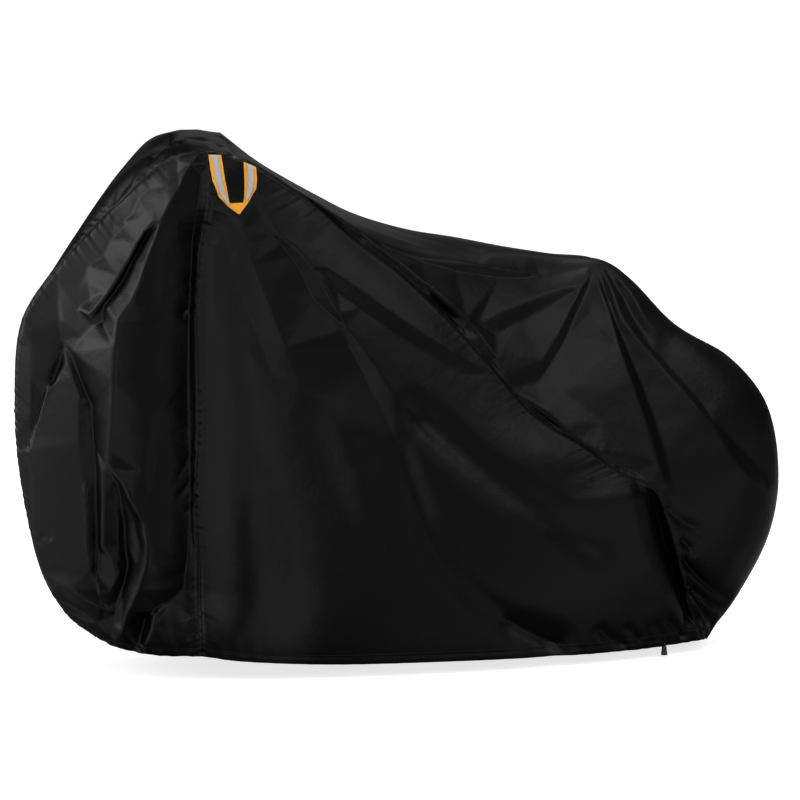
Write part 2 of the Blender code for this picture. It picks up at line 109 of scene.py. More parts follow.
def run_along(points: Array, axis: int = 0) -> Array:
    """Distance run from the first point on, down one axis of an array of points."""
    steps = np.linalg.norm(np.diff(points, axis=axis), axis=-1)
    start = np.zeros_like(steps.take([0], axis=axis))
    return np.concatenate([start, np.cumsum(steps, axis=axis)], axis=axis)


def in_frame(points: Array) -> Array:
    """Points measured from the origin instead of from the floor under the handlebar."""
    return points - np.array(BAR_REST)


class SmoothCurve:
    """Catmull-Rom curve through rows of numbers, read by share of its length."""

    STEPS = 24

    def __init__(self, rows: Array) -> None:
        """Lays the curve through the rows, whose first three numbers measure its length."""
        rows = np.asarray(rows, dtype=float)
        padded = np.vstack([2 * rows[0] - rows[1], rows, 2 * rows[-1] - rows[-2]])
        t = np.linspace(0.0, 1.0, self.STEPS, endpoint=False)[:, None]
        dense = []
        for a, b, c, d in zip(padded, padded[1:], padded[2:], padded[3:]):
            dense.append(0.5 * (2 * b + (c - a) * t + (2 * a - 5 * b + 4 * c - d) * t ** 2
                                + (3 * b - 3 * c + d - a) * t ** 3))
        self.dense = np.vstack(dense + [rows[-1:]])
        self.run = run_along(self.dense[:, :3])

    @property
    def length(self) -> float:
        """Length of the curve in metres."""
        return float(self.run[-1])

    def at(self, share: Array) -> Array:
        """Rows at shares of the length.

        Args:
            share: Shares from 0 to 1, in an array of any shape.

        Returns:
            The rows there, along one more axis.
        """
        where = np.asarray(share) * self.length
        return np.stack([np.interp(where, self.run, column) for column in self.dense.T], axis=-1)


# Folds ------------------------------------------------------------------------------------
class FoldShape(Enum):
    """Cross-section of a fold."""

    SOFT = "soft"
    CREST = "crest"


SOFT = FoldShape.SOFT
CREST = FoldShape.CREST


@dataclass(frozen=True)
class Fold:
    """One fold pressed into a wall, seen from the side; every path runs down or backwards.

    Attributes:
        name: What a maker would call it.
        shape: Soft swell or sharp crest.
        path: Places (x, z) that the fold runs through, from the floor under the handlebar.
        above: Width of its upper or rear flank at the start.
        below: Width of its lower or front flank at the start.
        height: Lift of its middle, below 0 for a trough.
        growth: Width at the end over the width at the start.
        fades: Shares of the path over which it grows at the start and dies out at the end.
    """

    name: str
    shape: FoldShape
    path: tuple[Place, ...]
    above: float
    below: float
    height: float
    growth: float = 1.0
    fades: tuple[float, float] = (0.16, 0.20)

    PIECES = 7
    ROUND = 0.0025
    SOFT_REACH = 2.6
    CREST_REACH = 5.5

    def curve(self) -> Array:
        """Short straight pieces that stand for the path."""
        points = np.array([(x, z, 0.0) for x, z in self.path])
        if len(points) == 2:
            return points[:, :2]
        count = self.PIECES * (len(points) - 1) + 1
        return SmoothCurve(points).at(np.linspace(0.0, 1.0, count))[:, :2]

    def lift(self, flat: Array) -> Array:
        """How far the fold lifts each point.

        Args:
            flat: Points as x and z.

        Returns:
            Lift of each point in metres, below 0 inwards.
        """
        path = self.curve()
        widest = max(self.above, self.below) * max(1.0, self.growth)
        reach = widest * (self.SOFT_REACH if self.shape is SOFT else self.CREST_REACH)
        inside = np.all((flat > path.min(0) - reach) & (flat < path.max(0) + reach), axis=1)
        total = np.zeros(len(flat))
        if not inside.any():
            return total
        near = flat[inside]
        best = np.full(len(near), np.inf)
        side = np.zeros(len(near))
        place = np.zeros(len(near))
        pieces = len(path) - 1
        for step, (a, b) in enumerate(zip(path, path[1:])):
            run = b - a
            t = np.clip(((near - a) @ run) / (run @ run), 0.0, 1.0)
            off = near - a - t[:, None] * run
            distance = np.hypot(off[:, 0], off[:, 1])
            nearer = distance < best
            best = np.where(nearer, distance, best)
            side = np.where(nearer, run[0] * off[:, 1] - run[1] * off[:, 0], side)
            place = np.where(nearer, (step + t) / pieces, place)
        width = np.where(side > 0, self.above, self.below)
        width = width * (1 + (self.growth - 1) * place)
        if self.shape is SOFT:
            section = np.exp(-(best / width) ** 2)
        else:
            section = np.exp(-(np.sqrt(best ** 2 + self.ROUND ** 2) - self.ROUND) / width)
        ends = fade(place, 0.0, self.fades[0]) * fade(1 - place, 0.0, self.fades[1])
        total[inside] = self.height * ends * section
        return total


FRONT_FOLDS = (
    Fold("seam sink", SOFT, ((-.084, 1.060), (-.095, .950), (-.099, .799), (-.094, .650), (-.090, .567),
         (-.097, .410), (-.085, .240), (-.084, .080)), 0.060, 0.085, -0.050, 1.0, (0.10, 0.12)),
    Fold("low channel", SOFT, ((-.446, .470), (-.438, .346), (-.424, .285)), 0.014, 0.014, -0.006),
    Fold("notch", CREST, ((-.425, .293), (-.409, .313), (-.389, .306)), 0.006, 0.006, -0.005),
    Fold("grip tuck", CREST, ((-.123, 1.146), (-.162, 1.130), (-.209, 1.088)), 0.006, 0.010, -0.004),
    Fold("seam pucker 1", CREST, ((-.098, .513), (-.130, .462), (-.160, .419)), 0.004, 0.008, -0.004,
         1.3, (0.10, 0.65)),
    Fold("seam pucker 2", CREST, ((-.098, .451), (-.126, .419), (-.153, .385)), 0.004, 0.008, -0.0045,
         1.3, (0.10, 0.65)),
    Fold("seam pucker 3", CREST, ((-.096, .415), (-.113, .372)), 0.004, 0.007, -0.004),
    Fold("seam pucker 4", CREST, ((-.098, .826), (-.124, .813), (-.132, .787)), 0.005, 0.009, -0.0055,
         1.3, (0.10, 0.60)),
    Fold("seam pucker 5", CREST, ((-.098, .895), (-.126, .866)), 0.004, 0.007, -0.004, 1.3,
         (0.10, 0.60)),
    Fold("seam pucker 6", CREST, ((-.098, .862), (-.124, .846)), 0.004, 0.006, -0.004, 1.3,
         (0.10, 0.60)),
    Fold("band fold", CREST, ((-.150, .960), (-.168, .880), (-.176, .800)), 0.010, 0.010, -0.002),
)
SIDE_FOLDS = (
    Fold("middle trough", SOFT, ((.330, .640), (.444, .531), (.572, .425), (.692, .342), (.860, .225)),
         0.030, 0.028, -0.018, 1.4),
    Fold("low trough", SOFT, ((.325, .560), (.365, .430), (.433, .274), (.511, .185), (.589, .121),
         (.676, .081), (.765, .030)), 0.024, 0.030, -0.016, 1.4, (0.3, 0.1)),
    Fold("hem slot", CREST, ((.575, .127), (.623, .095), (.683, .063), (.739, .041)), 0.007, 0.010,
         -0.010, 1.0, (0.25, 0.15)),
    Fold("hem tuck 1", CREST, ((.806, .091), (.837, .061), (.884, .029)), 0.008, 0.010, -0.010),
    Fold("hem tuck 2", CREST, ((.872, .086), (.898, .062), (.922, .039)), 0.008, 0.008, -0.005),
    Fold("hem tuck 3", CREST, ((.950, .087), (.967, .062), (.975, .038)), 0.008, 0.008, -0.005),
    Fold("hem tuck 4", CREST, ((.982, .093), (1.010, .066), (1.039, .028)), 0.007, 0.007, -0.010),
    Fold("side knee", SOFT, ((.020, .520), (.060, .300), (.090, .060)), 0.040, 0.040, -0.004, 1.4),
    Fold("side sweep", SOFT, ((.180, .640), (.260, .420), (.400, .120)), 0.035, 0.035, 0.005, 1.4),
)
REAR_FOLDS = (
    Fold("gather 1", CREST, ((.973, .349), (1.019, .311), (1.073, .281), (1.106, .253)), 0.012, 0.014,
         -0.012, 1.3, (0.12, 0.45)),
    Fold("gather 2", CREST, ((1.018, .270), (1.042, .249), (1.067, .224)), 0.008, 0.008, -0.012, 1.3,
         (0.12, 0.45)),
    Fold("gather 3", CREST, ((1.022, .234), (1.064, .186), (1.119, .143), (1.195, .098)), 0.010, 0.014,
         -0.022, 1.3, (0.12, 0.40)),
    Fold("gather 4", CREST, ((1.037, .182), (1.077, .140), (1.124, .104), (1.179, .077)), 0.008, 0.010,
         -0.017, 1.3, (0.12, 0.40)),
    Fold("gather 5", CREST, ((1.058, .149), (1.091, .108), (1.114, .071), (1.138, .033)), 0.008, 0.010,
         -0.018, 1.3, (0.12, 0.40)),
    Fold("gather 6", CREST, ((1.047, .151), (1.066, .107), (1.096, .040)), 0.008, 0.008, -0.018, 1.3,
         (0.12, 0.30)),
    Fold("bar pleat", CREST, ((-.018, 1.168), (-.034, 1.141)), 0.006, 0.004, -0.004),
)
FAR_FOLDS = (
    Fold("far front ridge", CREST, ((-.125, 1.090), (-.190, .900), (-.215, .790), (-.250, .560),
         (-.285, .360)), 0.024, 0.034, 0.024, 1.7),
    Fold("far band", SOFT, ((-.108, 1.050), (-.150, .700), (-.205, .240)), 0.024, 0.026, -0.018, 1.6),
    Fold("far channel", CREST, ((-.350, .800), (-.360, .620), (-.400, .430)), 0.016, 0.016, -0.014,
         1.3),
    Fold("far tongue", CREST, ((-.290, .400), (-.250, .250), (-.225, .085)), 0.018, 0.020, -0.016, 1.2),
    Fold("far grip trough", CREST, ((-.040, 1.020), (.040, .800), (.160, .520)), 0.024, 0.018, -0.012,
         1.8),
    Fold("far fan valley", CREST, ((.030, 1.030), (.180, .820), (.390, .600)), 0.020, 0.018, -0.015,
         1.6),
    Fold("far fan ridge", CREST, ((.080, .960), (.250, .690), (.430, .380)), 0.018, 0.022, 0.013, 1.6),
    Fold("far low trough", SOFT, ((.250, .420), (.430, .220), (.700, .035)), 0.026, 0.026, -0.022, 1.4),
    Fold("far middle trough", SOFT, ((.420, .640), (.640, .400), (.900, .170)), 0.026, 0.026, -0.015,
         1.4),
    Fold("far corner wedge", CREST, ((.900, .400), (.935, .260), (1.030, .045)), 0.018, 0.026, -0.024,
         1.2),
    Fold("far nose wedge", CREST, ((.826, .860), (.720, .770), (.600, .700)), 0.016, 0.014, -0.010,
         1.6),
    Fold("far saddle wedge", CREST, ((.845, .800), (.860, .640), (.905, .440)), 0.010, 0.026, 0.013,
         1.6),
    Fold("far saddle trough", CREST, ((.868, .800), (.935, .620), (1.020, .330)), 0.018, 0.010, -0.015,
         1.6),
    Fold("far rear crease", CREST, ((.900, .800), (1.010, .660), (1.180, .500)), 0.012, 0.010, -0.012,
         1.4),
    Fold("far roof valley", CREST, ((.323, .950), (.560, .890), (.820, .885)), 0.014, 0.012, -0.008),
    Fold("far overhang", CREST, ((.290, .958), (.455, .828), (.600, .650)), 0.020, 0.007, 0.010),
    Fold("far lap tuck", CREST, ((-.130, 1.178), (-.174, 1.120)), 0.006, 0.008, -0.004),
    Fold("far slit", CREST, ((-.200, 1.000), (-.260, .880), (-.320, .740)), 0.010, 0.014, -0.007, 1.3),
    Fold("far thin ridge", CREST, ((.230, .800), (.380, .640), (.600, .470)), 0.012, 0.014, 0.005),
)
# Folds over the handlebar, with their paths seen from above, as x and y.
BAR_FOLDS = (
    Fold("peak valley", CREST, ((-.112, .030), (-.126, -.030), (-.145, -.114), (-.162, -.146),
         (-.180, -.158), (-.203, -.150)), 0.010, 0.030, -0.026, 1.0, (0.45, 0.30)),
    Fold("peak fan 1", CREST, ((-.138, -.150), (-.160, -.222)), 0.006, 0.008, -0.006),
    Fold("peak fan 2", CREST, ((-.122, -.170), (-.142, -.248)), 0.006, 0.008, -0.005),
    Fold("peak crease", CREST, ((-.067, -.158), (-.090, -.220), (-.108, -.272)), 0.008, 0.010, -0.007),
    Fold("peak pleat", CREST, ((-.040, -.190), (-.060, -.268)), 0.006, 0.008, -0.005),
    Fold("bar line", CREST, ((-.009, -.083), (-.017, -.193), (-.007, -.268)), 0.006, 0.010, -0.010, 1.0,
         (0.10, 0.20)),
    Fold("strip fold", CREST, ((-.215, -.142), (-.262, -.112)), 0.008, 0.012, -0.006),
)
BAR_PUSH = (-0.45, -0.35, 0.82)  # direction in which these folds lift the cloth
BAR_HEIGHTS = (0.95, 1.03)  # heights between which they come up
BAR_FADE = 0.010  # distance from a seam over which they come up


# Creases are lines between flat facets: x, z in metres and the cloth's lift in mm at each point.
# The near front panel hangs crumpled in flat facets round the front wheel.
FRONT_CREASES = {
    "front ridge": ((-.116, 1.131, 25), (-.135, 1.095, 42), (-.153, 1.053, 56), (-.171, 1.007, 66),
        (-.180, .969, 73), (-.194, .922, 79), (-.206, .873, 84), (-.217, .841, 86), (-.239, .798, 88),
        (-.243, .745, 90), (-.247, .669, 90), (-.251, .583, 88), (-.256, .518, 84), (-.262, .486, 76)),
    "seam valley": ((-.094, 1.106, -3), (-.099, 1.053, -5), (-.105, .968, -9), (-.110, .872, -11),
        (-.113, .775, -12), (-.114, .666, -13), (-.112, .557, -12), (-.108, .449, -11),
        (-.109, .360, -9), (-.111, .271, -8), (-.117, .237, -8)),
    "slit lip": ((-.182, 1.010, 58), (-.196, .988, 52), (-.210, .960, 50), (-.225, .924, 46),
        (-.243, .888, 49), (-.259, .857, 49), (-.276, .831, 48), (-.299, .804, 42)),
    "slit": ((-.177, .999, 54), (-.191, .984, 36), (-.206, .954, 31), (-.223, .917, 30),
        (-.239, .880, 30), (-.256, .850, 32), (-.272, .826, 35), (-.289, .802, 33)),
    "brow crease": ((-.375, .898, 0), (-.375, .851, -2), (-.375, .787, -4), (-.371, .744, -6),
        (-.367, .731, -6)),
    "brow edge": ((-.344, .721, 8), (-.321, .757, 16), (-.297, .782, 22), (-.278, .791, 26)),
    "left roll": ((-.442, .759, 7), (-.427, .732, 9), (-.428, .656, 9), (-.430, .573, 8),
        (-.437, .502, 5), (-.428, .432, 8), (-.429, .347, 6), (-.421, .300, 3)),
    "channel lip": ((-.374, .723, 0), (-.388, .686, 5), (-.400, .640, 7), (-.413, .596, 6),
        (-.425, .555, 4)),
    "channel": ((-.367, .731, -6), (-.386, .686, -14), (-.398, .647, -14), (-.412, .605, -11),
        (-.424, .561, -6), (-.438, .508, -1)),
    "wheel facet lip": ((-.374, .677, -3), (-.379, .656, 4), (-.393, .621, 6), (-.413, .572, 6),
        (-.428, .533, 5), (-.440, .488, 3)),
    "line lip": ((-.364, .723, 0), (-.356, .698, 6), (-.344, .669, 11), (-.326, .627, 16)),
    "line valley": ((-.367, .731, -6), (-.348, .711, 0), (-.338, .679, 1), (-.324, .641, 3),
        (-.309, .607, 5), (-.307, .531, 4), (-.304, .443, 2), (-.304, .355, -2), (-.304, .298, -6)),
    "facet edge": ((-.373, .648, 5), (-.346, .634, 12), (-.328, .614, 17), (-.325, .532, 21),
        (-.323, .401, 23), (-.321, .291, 21), (-.315, .241, 17), (-.299, .197, 11), (-.274, .149, 3)),
    "facet edge foot": ((-.324, .609, 12), (-.323, .531, 13), (-.324, .399, 8), (-.324, .298, 0),
        (-.318, .241, -10), (-.303, .197, -10), (-.287, .167, -5)),
    "thin strip": ((-.311, .601, 12), (-.309, .532, 13), (-.309, .444, 9), (-.308, .366, 4)),
    "left strip": ((-.281, .461, 29), (-.282, .404, 26), (-.286, .336, 20), (-.291, .300, 12)),
    "tongue foot": ((-.266, .480, 32), (-.259, .448, 20), (-.258, .403, 10), (-.257, .358, 6),
        (-.260, .301, 1)),
    "tongue tip": ((-.293, .294, 6), (-.280, .284, 8), (-.262, .286, 3)),
    "lower facet left": ((-.303, .288, -3), (-.308, .238, -7), (-.301, .193, -8)),
    "lower facet right": ((-.282, .277, 4), (-.268, .266, 7), (-.259, .229, 6), (-.274, .199, 3),
        (-.284, .152, -2)),
    "curl": ((-.258, .479, 74), (-.238, .450, 68), (-.227, .415, 62), (-.217, .392, 57),
        (-.202, .355, 46), (-.197, .310, 44), (-.199, .265, 40), (-.214, .208, 33), (-.235, .156, 22),
        (-.247, .113, 13), (-.242, .077, 7)),
    "curl foot": ((-.252, .444, 24), (-.242, .409, 18), (-.230, .381, 20), (-.223, .354, 14),
        (-.215, .305, 13), (-.219, .260, 12), (-.232, .215, 8), (-.249, .166, 3), (-.256, .129, 0)),
    "gap": ((-.258, .424, 8), (-.254, .384, 1), (-.251, .352, -8), (-.250, .299, -15),
        (-.244, .254, -17), (-.254, .210, -15), (-.266, .172, -10), (-.272, .143, -6)),
    "belly": ((-.409, .213, 2), (-.376, .206, 5), (-.351, .197, 7), (-.323, .177, 7), (-.295, .160, 5),
        (-.274, .147, 3)),
    "belly foot": ((-.396, .185, -3), (-.369, .170, -7), (-.334, .147, -11), (-.300, .130, -9),
        (-.274, .120, -6)),
    "toe crease": ((-.313, .094, -3), (-.304, .125, -8), (-.291, .154, -6)),
    "snag crease": ((-.119, .203, -9), (-.153, .173, -9), (-.178, .159, -8)),
    "toe strip": ((-.179, .155, 6), (-.189, .115, 7), (-.201, .079, 4)),
    "toe strip foot": ((-.192, .149, -4), (-.201, .109, -6), (-.208, .078, -3)),
    "toe gap": ((-.206, .140, -24), (-.214, .106, -24), (-.219, .077, -12)),
    "band light": ((-.190, .597, 50), (-.197, .536, 52), (-.203, .471, 50), (-.210, .405, 46)),
    "band light foot": ((-.168, .596, 30), (-.176, .535, 30), (-.186, .470, 30), (-.197, .404, 36)),
    "crackle a": ((-.311, .952, 1), (-.305, .931, 4), (-.312, .903, 4), (-.321, .877, 3),
        (-.303, .840, 13)),
    "crackle b": ((-.260, .997, 3), (-.265, .963, 5), (-.278, .929, 8)),
    "crackle c": ((-.244, 1.038, 0), (-.242, 1.002, 4), (-.224, 1.020, 6), (-.213, 1.050, 5),
        (-.188, 1.076, 9)),
    "crackle d": ((-.236, .994, 10), (-.217, 1.006, 24), (-.195, 1.026, 37), (-.180, 1.035, 44)),
    "crackle e": ((-.368, .858, 1), (-.328, .860, 6), (-.311, .872, 8)),
    "crackle f": ((-.368, .788, 2), (-.332, .814, 10), (-.301, .834, 17)),
    "upper swell": ((-.142, 1.112, 19), (-.162, 1.082, 29), (-.186, 1.045, 31)),
}
# The near side panel is pulled tight from the handle end to the rear hem.
SIDE_CREASES = {
    "long edge": ((.026, 1.061, 1), (.047, 1.014, 5), (.075, .973, 8), (.117, .945, 11),
        (.183, .901, 13), (.250, .856, 13), (.341, .793, 12), (.410, .747, 10), (.458, .719, 7),
        (.507, .690, 3)),
    "long edge foot": ((.166, .897, 8), (.203, .852, 2), (.252, .817, 1), (.319, .769, 2),
        (.393, .721, 1), (.449, .689, 0), (.491, .663, -1)),
    "fan ridge": ((.093, .954, 6), (.121, .930, 10), (.143, .906, 13), (.164, .876, 14),
        (.184, .841, 13), (.205, .806, 10), (.219, .780, 6)),
    "fan foot": ((.074, .960, 0), (.099, .929, -4), (.122, .895, -6), (.137, .862, -7),
        (.148, .838, -7), (.176, .812, -4), (.202, .788, 0)),
    "lower valley": ((.206, .769, 2), (.227, .733, -5), (.254, .682, -8), (.288, .612, -9),
        (.327, .524, -9), (.381, .421, -9), (.446, .321, -8), (.525, .228, -5), (.609, .137, -2)),
    "lower ridge": ((.223, .773, 6), (.252, .735, 5), (.290, .682, 4), (.335, .616, 2),
        (.384, .542, -1), (.448, .450, -3), (.517, .357, -3), (.605, .251, -2)),
    "thin ridge": ((.255, .757, 5), (.318, .703, 4), (.397, .637, 3), (.500, .555, 1), (.615, .452, 0)),
    "grip trough": ((-.044, .977, 0), (-.030, .921, -5), (-.008, .850, -6), (.023, .771, -5),
        (.052, .684, -1)),
    "grip ridge": ((-.014, .985, 3), (.012, .917, 4), (.047, .835, 5), (.086, .736, 3),
        (.117, .644, 1)),
    "loop trough": ((.018, 1.052, -6), (.034, 1.014, -6), (.048, .980, -3)),
    "calm low": ((-.066, .473, 0), (.012, .362, 0), (.189, .179, 0)),
    "calm rear": ((.668, .513, 0), (.709, .380, 0), (.785, .240, 0), (.815, .078, 0)),
    "corner edge": ((.889, .403, 1), (.893, .369, 4), (.903, .323, 5), (.918, .271, 5), (.940, .223, 5),
        (.965, .175, 5), (.997, .123, 4), (1.030, .061, 1)),
    "corner fall": ((.921, .387, -12), (.938, .336, -16), (.958, .283, -19), (.981, .226, -19),
        (1.010, .163, -18), (1.040, .091, -10)),
    "corner foot": ((.948, .379, -24), (.965, .339, -41), (.981, .295, -48), (.997, .247, -53),
        (1.016, .199, -53), (1.036, .141, -48), (1.053, .090, -34)),
    "calm seam": ((-.065, .948, 2), (-.060, .777, 2), (-.063, .604, 1)),
}
# The near half of the top and rear panel lies round the saddle and the rear wheel.
REAR_CREASES = {
    "wedge left": ((.827, .865, -2), (.809, .830, -6), (.784, .787, -9), (.751, .731, -10),
        (.712, .680, -8), (.670, .633, -4)),
    "wedge left lip": ((.817, .872, 1), (.795, .838, 3), (.767, .795, 3), (.733, .739, 2),
        (.695, .688, 0)),
    "wedge ridge": ((.844, .836, 2), (.858, .783, 5), (.875, .711, 8), (.904, .621, 10),
        (.934, .532, 10), (.957, .448, 8), (.977, .389, 5)),
    "wedge foot": ((.860, .809, -3), (.880, .747, -5), (.903, .688, -6), (.932, .616, -7),
        (.960, .537, -7), (.981, .459, -6), (.999, .386, -5)),
    "short pleat": ((.829, .845, -2), (.819, .810, -3), (.810, .784, 0)),
    "fold one": ((.842, .867, -3), (.853, .826, -8), (.859, .811, -7)),
    "between folds": ((.856, .869, 1), (.870, .827, 2), (.879, .796, 3)),
    "fold two": ((.856, .881, -2), (.878, .850, -7), (.900, .816, -10), (.916, .778, -8),
        (.943, .737, -6), (.969, .701, -2)),
    "fold lip": ((.885, .868, 3), (.909, .830, 5), (.933, .787, 5), (.966, .737, 2)),
    "long crease lip": ((.884, .769, 3), (.921, .724, 3), (.967, .671, 4), (1.021, .611, 4),
        (1.071, .555, 4), (1.103, .522, 2)),
    "long crease": ((.896, .780, -2), (.933, .731, -3), (.984, .678, -5), (1.038, .618, -5),
        (1.089, .560, -5), (1.119, .523, -3)),
    "rear wedge lip": ((1.110, .508, 2), (1.128, .476, 5), (1.162, .435, 7), (1.202, .395, 6),
        (1.249, .359, 2)),
    "rear wedge foot": ((1.130, .509, -4), (1.162, .475, -7), (1.205, .437, -8), (1.247, .398, -7),
        (1.285, .365, -2)),
    "roof valley": ((.317, .940, -2), (.402, .908, -6), (.487, .886, -8), (.600, .868, -8),
        (.700, .866, -7), (.788, .877, -4), (.825, .884, -1)),
    "roof strip": ((.177, 1.030, 3), (.268, .989, 8), (.364, .953, 11), (.455, .923, 11),
        (.549, .896, 8), (.654, .872, 0)),
    "roof groove": ((.235, 1.027, -3), (.298, .998, -6), (.384, .968, -8), (.471, .943, -6),
        (.560, .920, -4)),
    "nose ridge": ((.806, .863, 1), (.744, .839, 3), (.680, .822, 4), (.589, .793, 4), (.533, .772, 1)),
    "nose foot": ((.779, .829, -2), (.717, .800, -3), (.640, .771, -3), (.577, .744, -2)),
    "gap": ((.255, .961, -5), (.287, .934, -9), (.339, .895, -12), (.387, .853, -20), (.433, .814, -22),
        (.467, .789, -17), (.497, .765, -5)),
    "gap lip": ((.272, .965, 3), (.313, .938, 7), (.356, .907, 9), (.409, .862, 10), (.459, .820, 10),
        (.502, .783, 8), (.537, .745, 7), (.571, .698, 7), (.593, .653, 5), (.605, .622, 2)),
    "second gap": ((.531, .720, -4), (.562, .679, -10), (.585, .646, -12), (.601, .626, -6)),
    "low gap": ((.636, .592, -2), (.667, .570, -9), (.704, .541, -10), (.735, .517, -5)),
    "low gap lip": ((.640, .603, 4), (.684, .575, 7), (.724, .542, 7), (.767, .507, 3)),
    "seam lens": ((.790, .491, 4), (.824, .476, 6), (.859, .458, 3)),
    "seam notch": ((.835, .457, -2), (.866, .441, -7), (.901, .428, -7), (.924, .414, -2)),
    "calm wall": ((.727, .617, 0), (.820, .548, 1), (.890, .467, 2)),
    "dip": ((.983, .714, -2), (1.017, .723, -3), (1.059, .726, 0)),
    "rear soft": ((1.117, .639, 0), (1.124, .587, -3), (1.103, .544, -1)),
    "rear calm": ((1.068, .422, 0), (1.121, .304, 0), (1.114, .188, 0)),
}


class FacetNet:
    """Flat triangular facets between crease lines, from rims on which the lift is 0."""

    MILLIMETRES = 0.001
    NEARNESS = 0.00002
    FLAT = 1e-12
    SLACK = 1e-9

    def __init__(self, creases: CreaseTable, rims: list[Array]) -> None:
        """Joins the crease lines and the rims (x and z) by triangles."""
        places: list[Vector] = []
        lifts: list[float] = []
        edges: list[tuple[int, int]] = []
        lines = [np.array(path) for path in creases.values()]
        lines += [np.column_stack([rim, np.zeros(len(rim))]) for rim in rims]
        for line in lines:
            first = len(places)
            places += [Vector((x, z)) for x, z, _ in line]
            lifts += [lift * self.MILLIMETRES for lift in line[:, 2]]
            edges += [(number, number + 1) for number in range(first, len(places) - 1)]
        corners, _, faces, origins, _, _ = delaunay_2d_cdt(places, edges, [], 0, self.NEARNESS)
        self.corners = np.array([tuple(corner) for corner in corners])
        self.faces = np.array(faces)
        self.lifts = np.array([lifts[origin[0]] if origin else np.nan for origin in origins])
        for number in np.flatnonzero(np.isnan(self.lifts)):
            around = self.faces[(self.faces == number).any(axis=1)]
            self.lifts[number] = np.nanmean(self.lifts[np.unique(around)])

    def lift(self, flat: Array) -> Array:
        """How far the facets lift each point, given as x and z."""
        total = np.zeros(len(flat))
        for face in self.faces:
            a, b, c = self.corners[face]
            low = np.minimum(np.minimum(a, b), c)
            high = np.maximum(np.maximum(a, b), c)
            near = np.flatnonzero(np.all((flat >= low) & (flat <= high), axis=1))
            span = (b[0] - a[0]) * (c[1] - a[1]) - (b[1] - a[1]) * (c[0] - a[0])
            if not len(near) or abs(span) < self.FLAT:
                continue
            off = flat[near] - a
            v = (off[:, 0] * (c[1] - a[1]) - off[:, 1] * (c[0] - a[0])) / span
            w = (off[:, 1] * (b[0] - a[0]) - off[:, 0] * (b[1] - a[1])) / span
            inside = (v >= -self.SLACK) & (w >= -self.SLACK) & (v + w <= 1 + self.SLACK)
            values = self.lifts[face]
            mixed = values[0] + v * (values[1] - values[0]) + w * (values[2] - values[0])
            total[near[inside]] = mixed[inside]
        return total


def softened(lift: Array, passes: int) -> Array:
    """Rounds the creases of a lift in rows and columns over its neighbours, rims kept."""
    for _ in range(passes):
        inner = lift.copy()
        inner[1:-1] = 0.25 * lift[:-2] + 0.5 * lift[1:-1] + 0.25 * lift[2:]
        lift = inner.copy()
        lift[:, 1:-1] = 0.25 * inner[:, :-2] + 0.5 * inner[:, 1:-1] + 0.25 * inner[:, 2:]
    return lift


@dataclass(frozen=True)
class Pressing:
    """How the folds push the cloth: which way, and where they die out.

    Attributes:
        near: Folds of the near side.
        far: Folds of the far side.
        middle: Distances from the middle plane between which the folds come up.
        front_turn: Distances in front of the origin over which folds turn forwards.
        rear_turn: Distances behind it over which they turn backwards.
        turn_share: How far forwards or backwards for each step sideways, fully turned.
    """

    near: tuple[Fold, ...] = FRONT_FOLDS + SIDE_FOLDS + REAR_FOLDS
    far: tuple[Fold, ...] = FAR_FOLDS
    middle: Place = (0.012, 0.060)
    front_turn: Place = (0.060, 0.420)
    rear_turn: Place = (1.000, 1.280)
    turn_share: float = 0.85

    def lift(self, points: Array) -> Array:
        """How far the folds of its own side lift each point of a list."""
        flat = points[:, [0, 2]]
        total = np.zeros(len(points))
        for folds, here in ((self.near, points[:, 1] < 0), (self.far, points[:, 1] >= 0)):
            for fold in folds:
                total[here] += fold.lift(flat[here])
        return total * fade(np.abs(points[:, 1]), *self.middle)

    def outwards(self, points: Array) -> Array:
        """Unit direction in which the cloth is pushed at each point of a list."""
        forwards = self.turn_share * fade(-points[:, 0], *self.front_turn)
        backwards = self.turn_share * fade(points[:, 0], *self.rear_turn)
        sideways = np.where(points[:, 1] < 0, -1.0, 1.0)
        out = np.stack([backwards - forwards, sideways, 0 * sideways], axis=1)
        return out / np.linalg.norm(out, axis=1, keepdims=True)


# Seams ------------------------------------------------------------------------------------
# x and z of the gusset's near edge, how far each edge lies to its side, how far the far edge is
# set back, and how far the strip crowns outwards.
FRONT_SEAM = {
    "front hem": (-0.300, 0.085, 0.060, 0.070, 0.015, 0.004),
    "toe": (-0.364, 0.138, 0.050, 0.070, 0.025, 0.004),
    "low wheel": (-0.420, 0.245, 0.035, 0.070, 0.030, 0.004),
    "wheel axle": (-0.458, 0.440, 0.020, 0.065, 0.034, 0.004),
    "wheel front": (-0.467, 0.610, 0.015, 0.060, 0.034, 0.004),
    "wheel brow": (-0.450, 0.778, 0.020, 0.060, 0.030, 0.006),
    "wheel top": (-0.376, 0.895, 0.050, 0.065, 0.030, 0.010),
    "fork rise": (-0.286, 1.000, 0.100, 0.100, 0.030, 0.028),
    "cable rise": (-0.238, 1.052, 0.145, 0.140, 0.030, 0.036),
    "lever": (-0.158, 1.135, 0.220, 0.215, 0.015, 0.041),
    "grip front": (-0.108, 1.154, 0.275, 0.275, 0.000, 0.052),
}
# x, y and z up the near upright seam.
UPRIGHT_SEAM = {
    "hem": (-0.084, -0.180, 0.055),
    "snag": (-0.083, -0.210, 0.240),
    "kink": (-0.097, -0.235, 0.410),
    "middle": (-0.090, -0.250, 0.567),
    "upper": (-0.098, -0.270, 0.799),
    "high": (-0.092, -0.281, 0.920),
    "under grip": (-0.074, -0.289, 1.071),
    "grip": (-0.080, -0.290, 1.155),
}
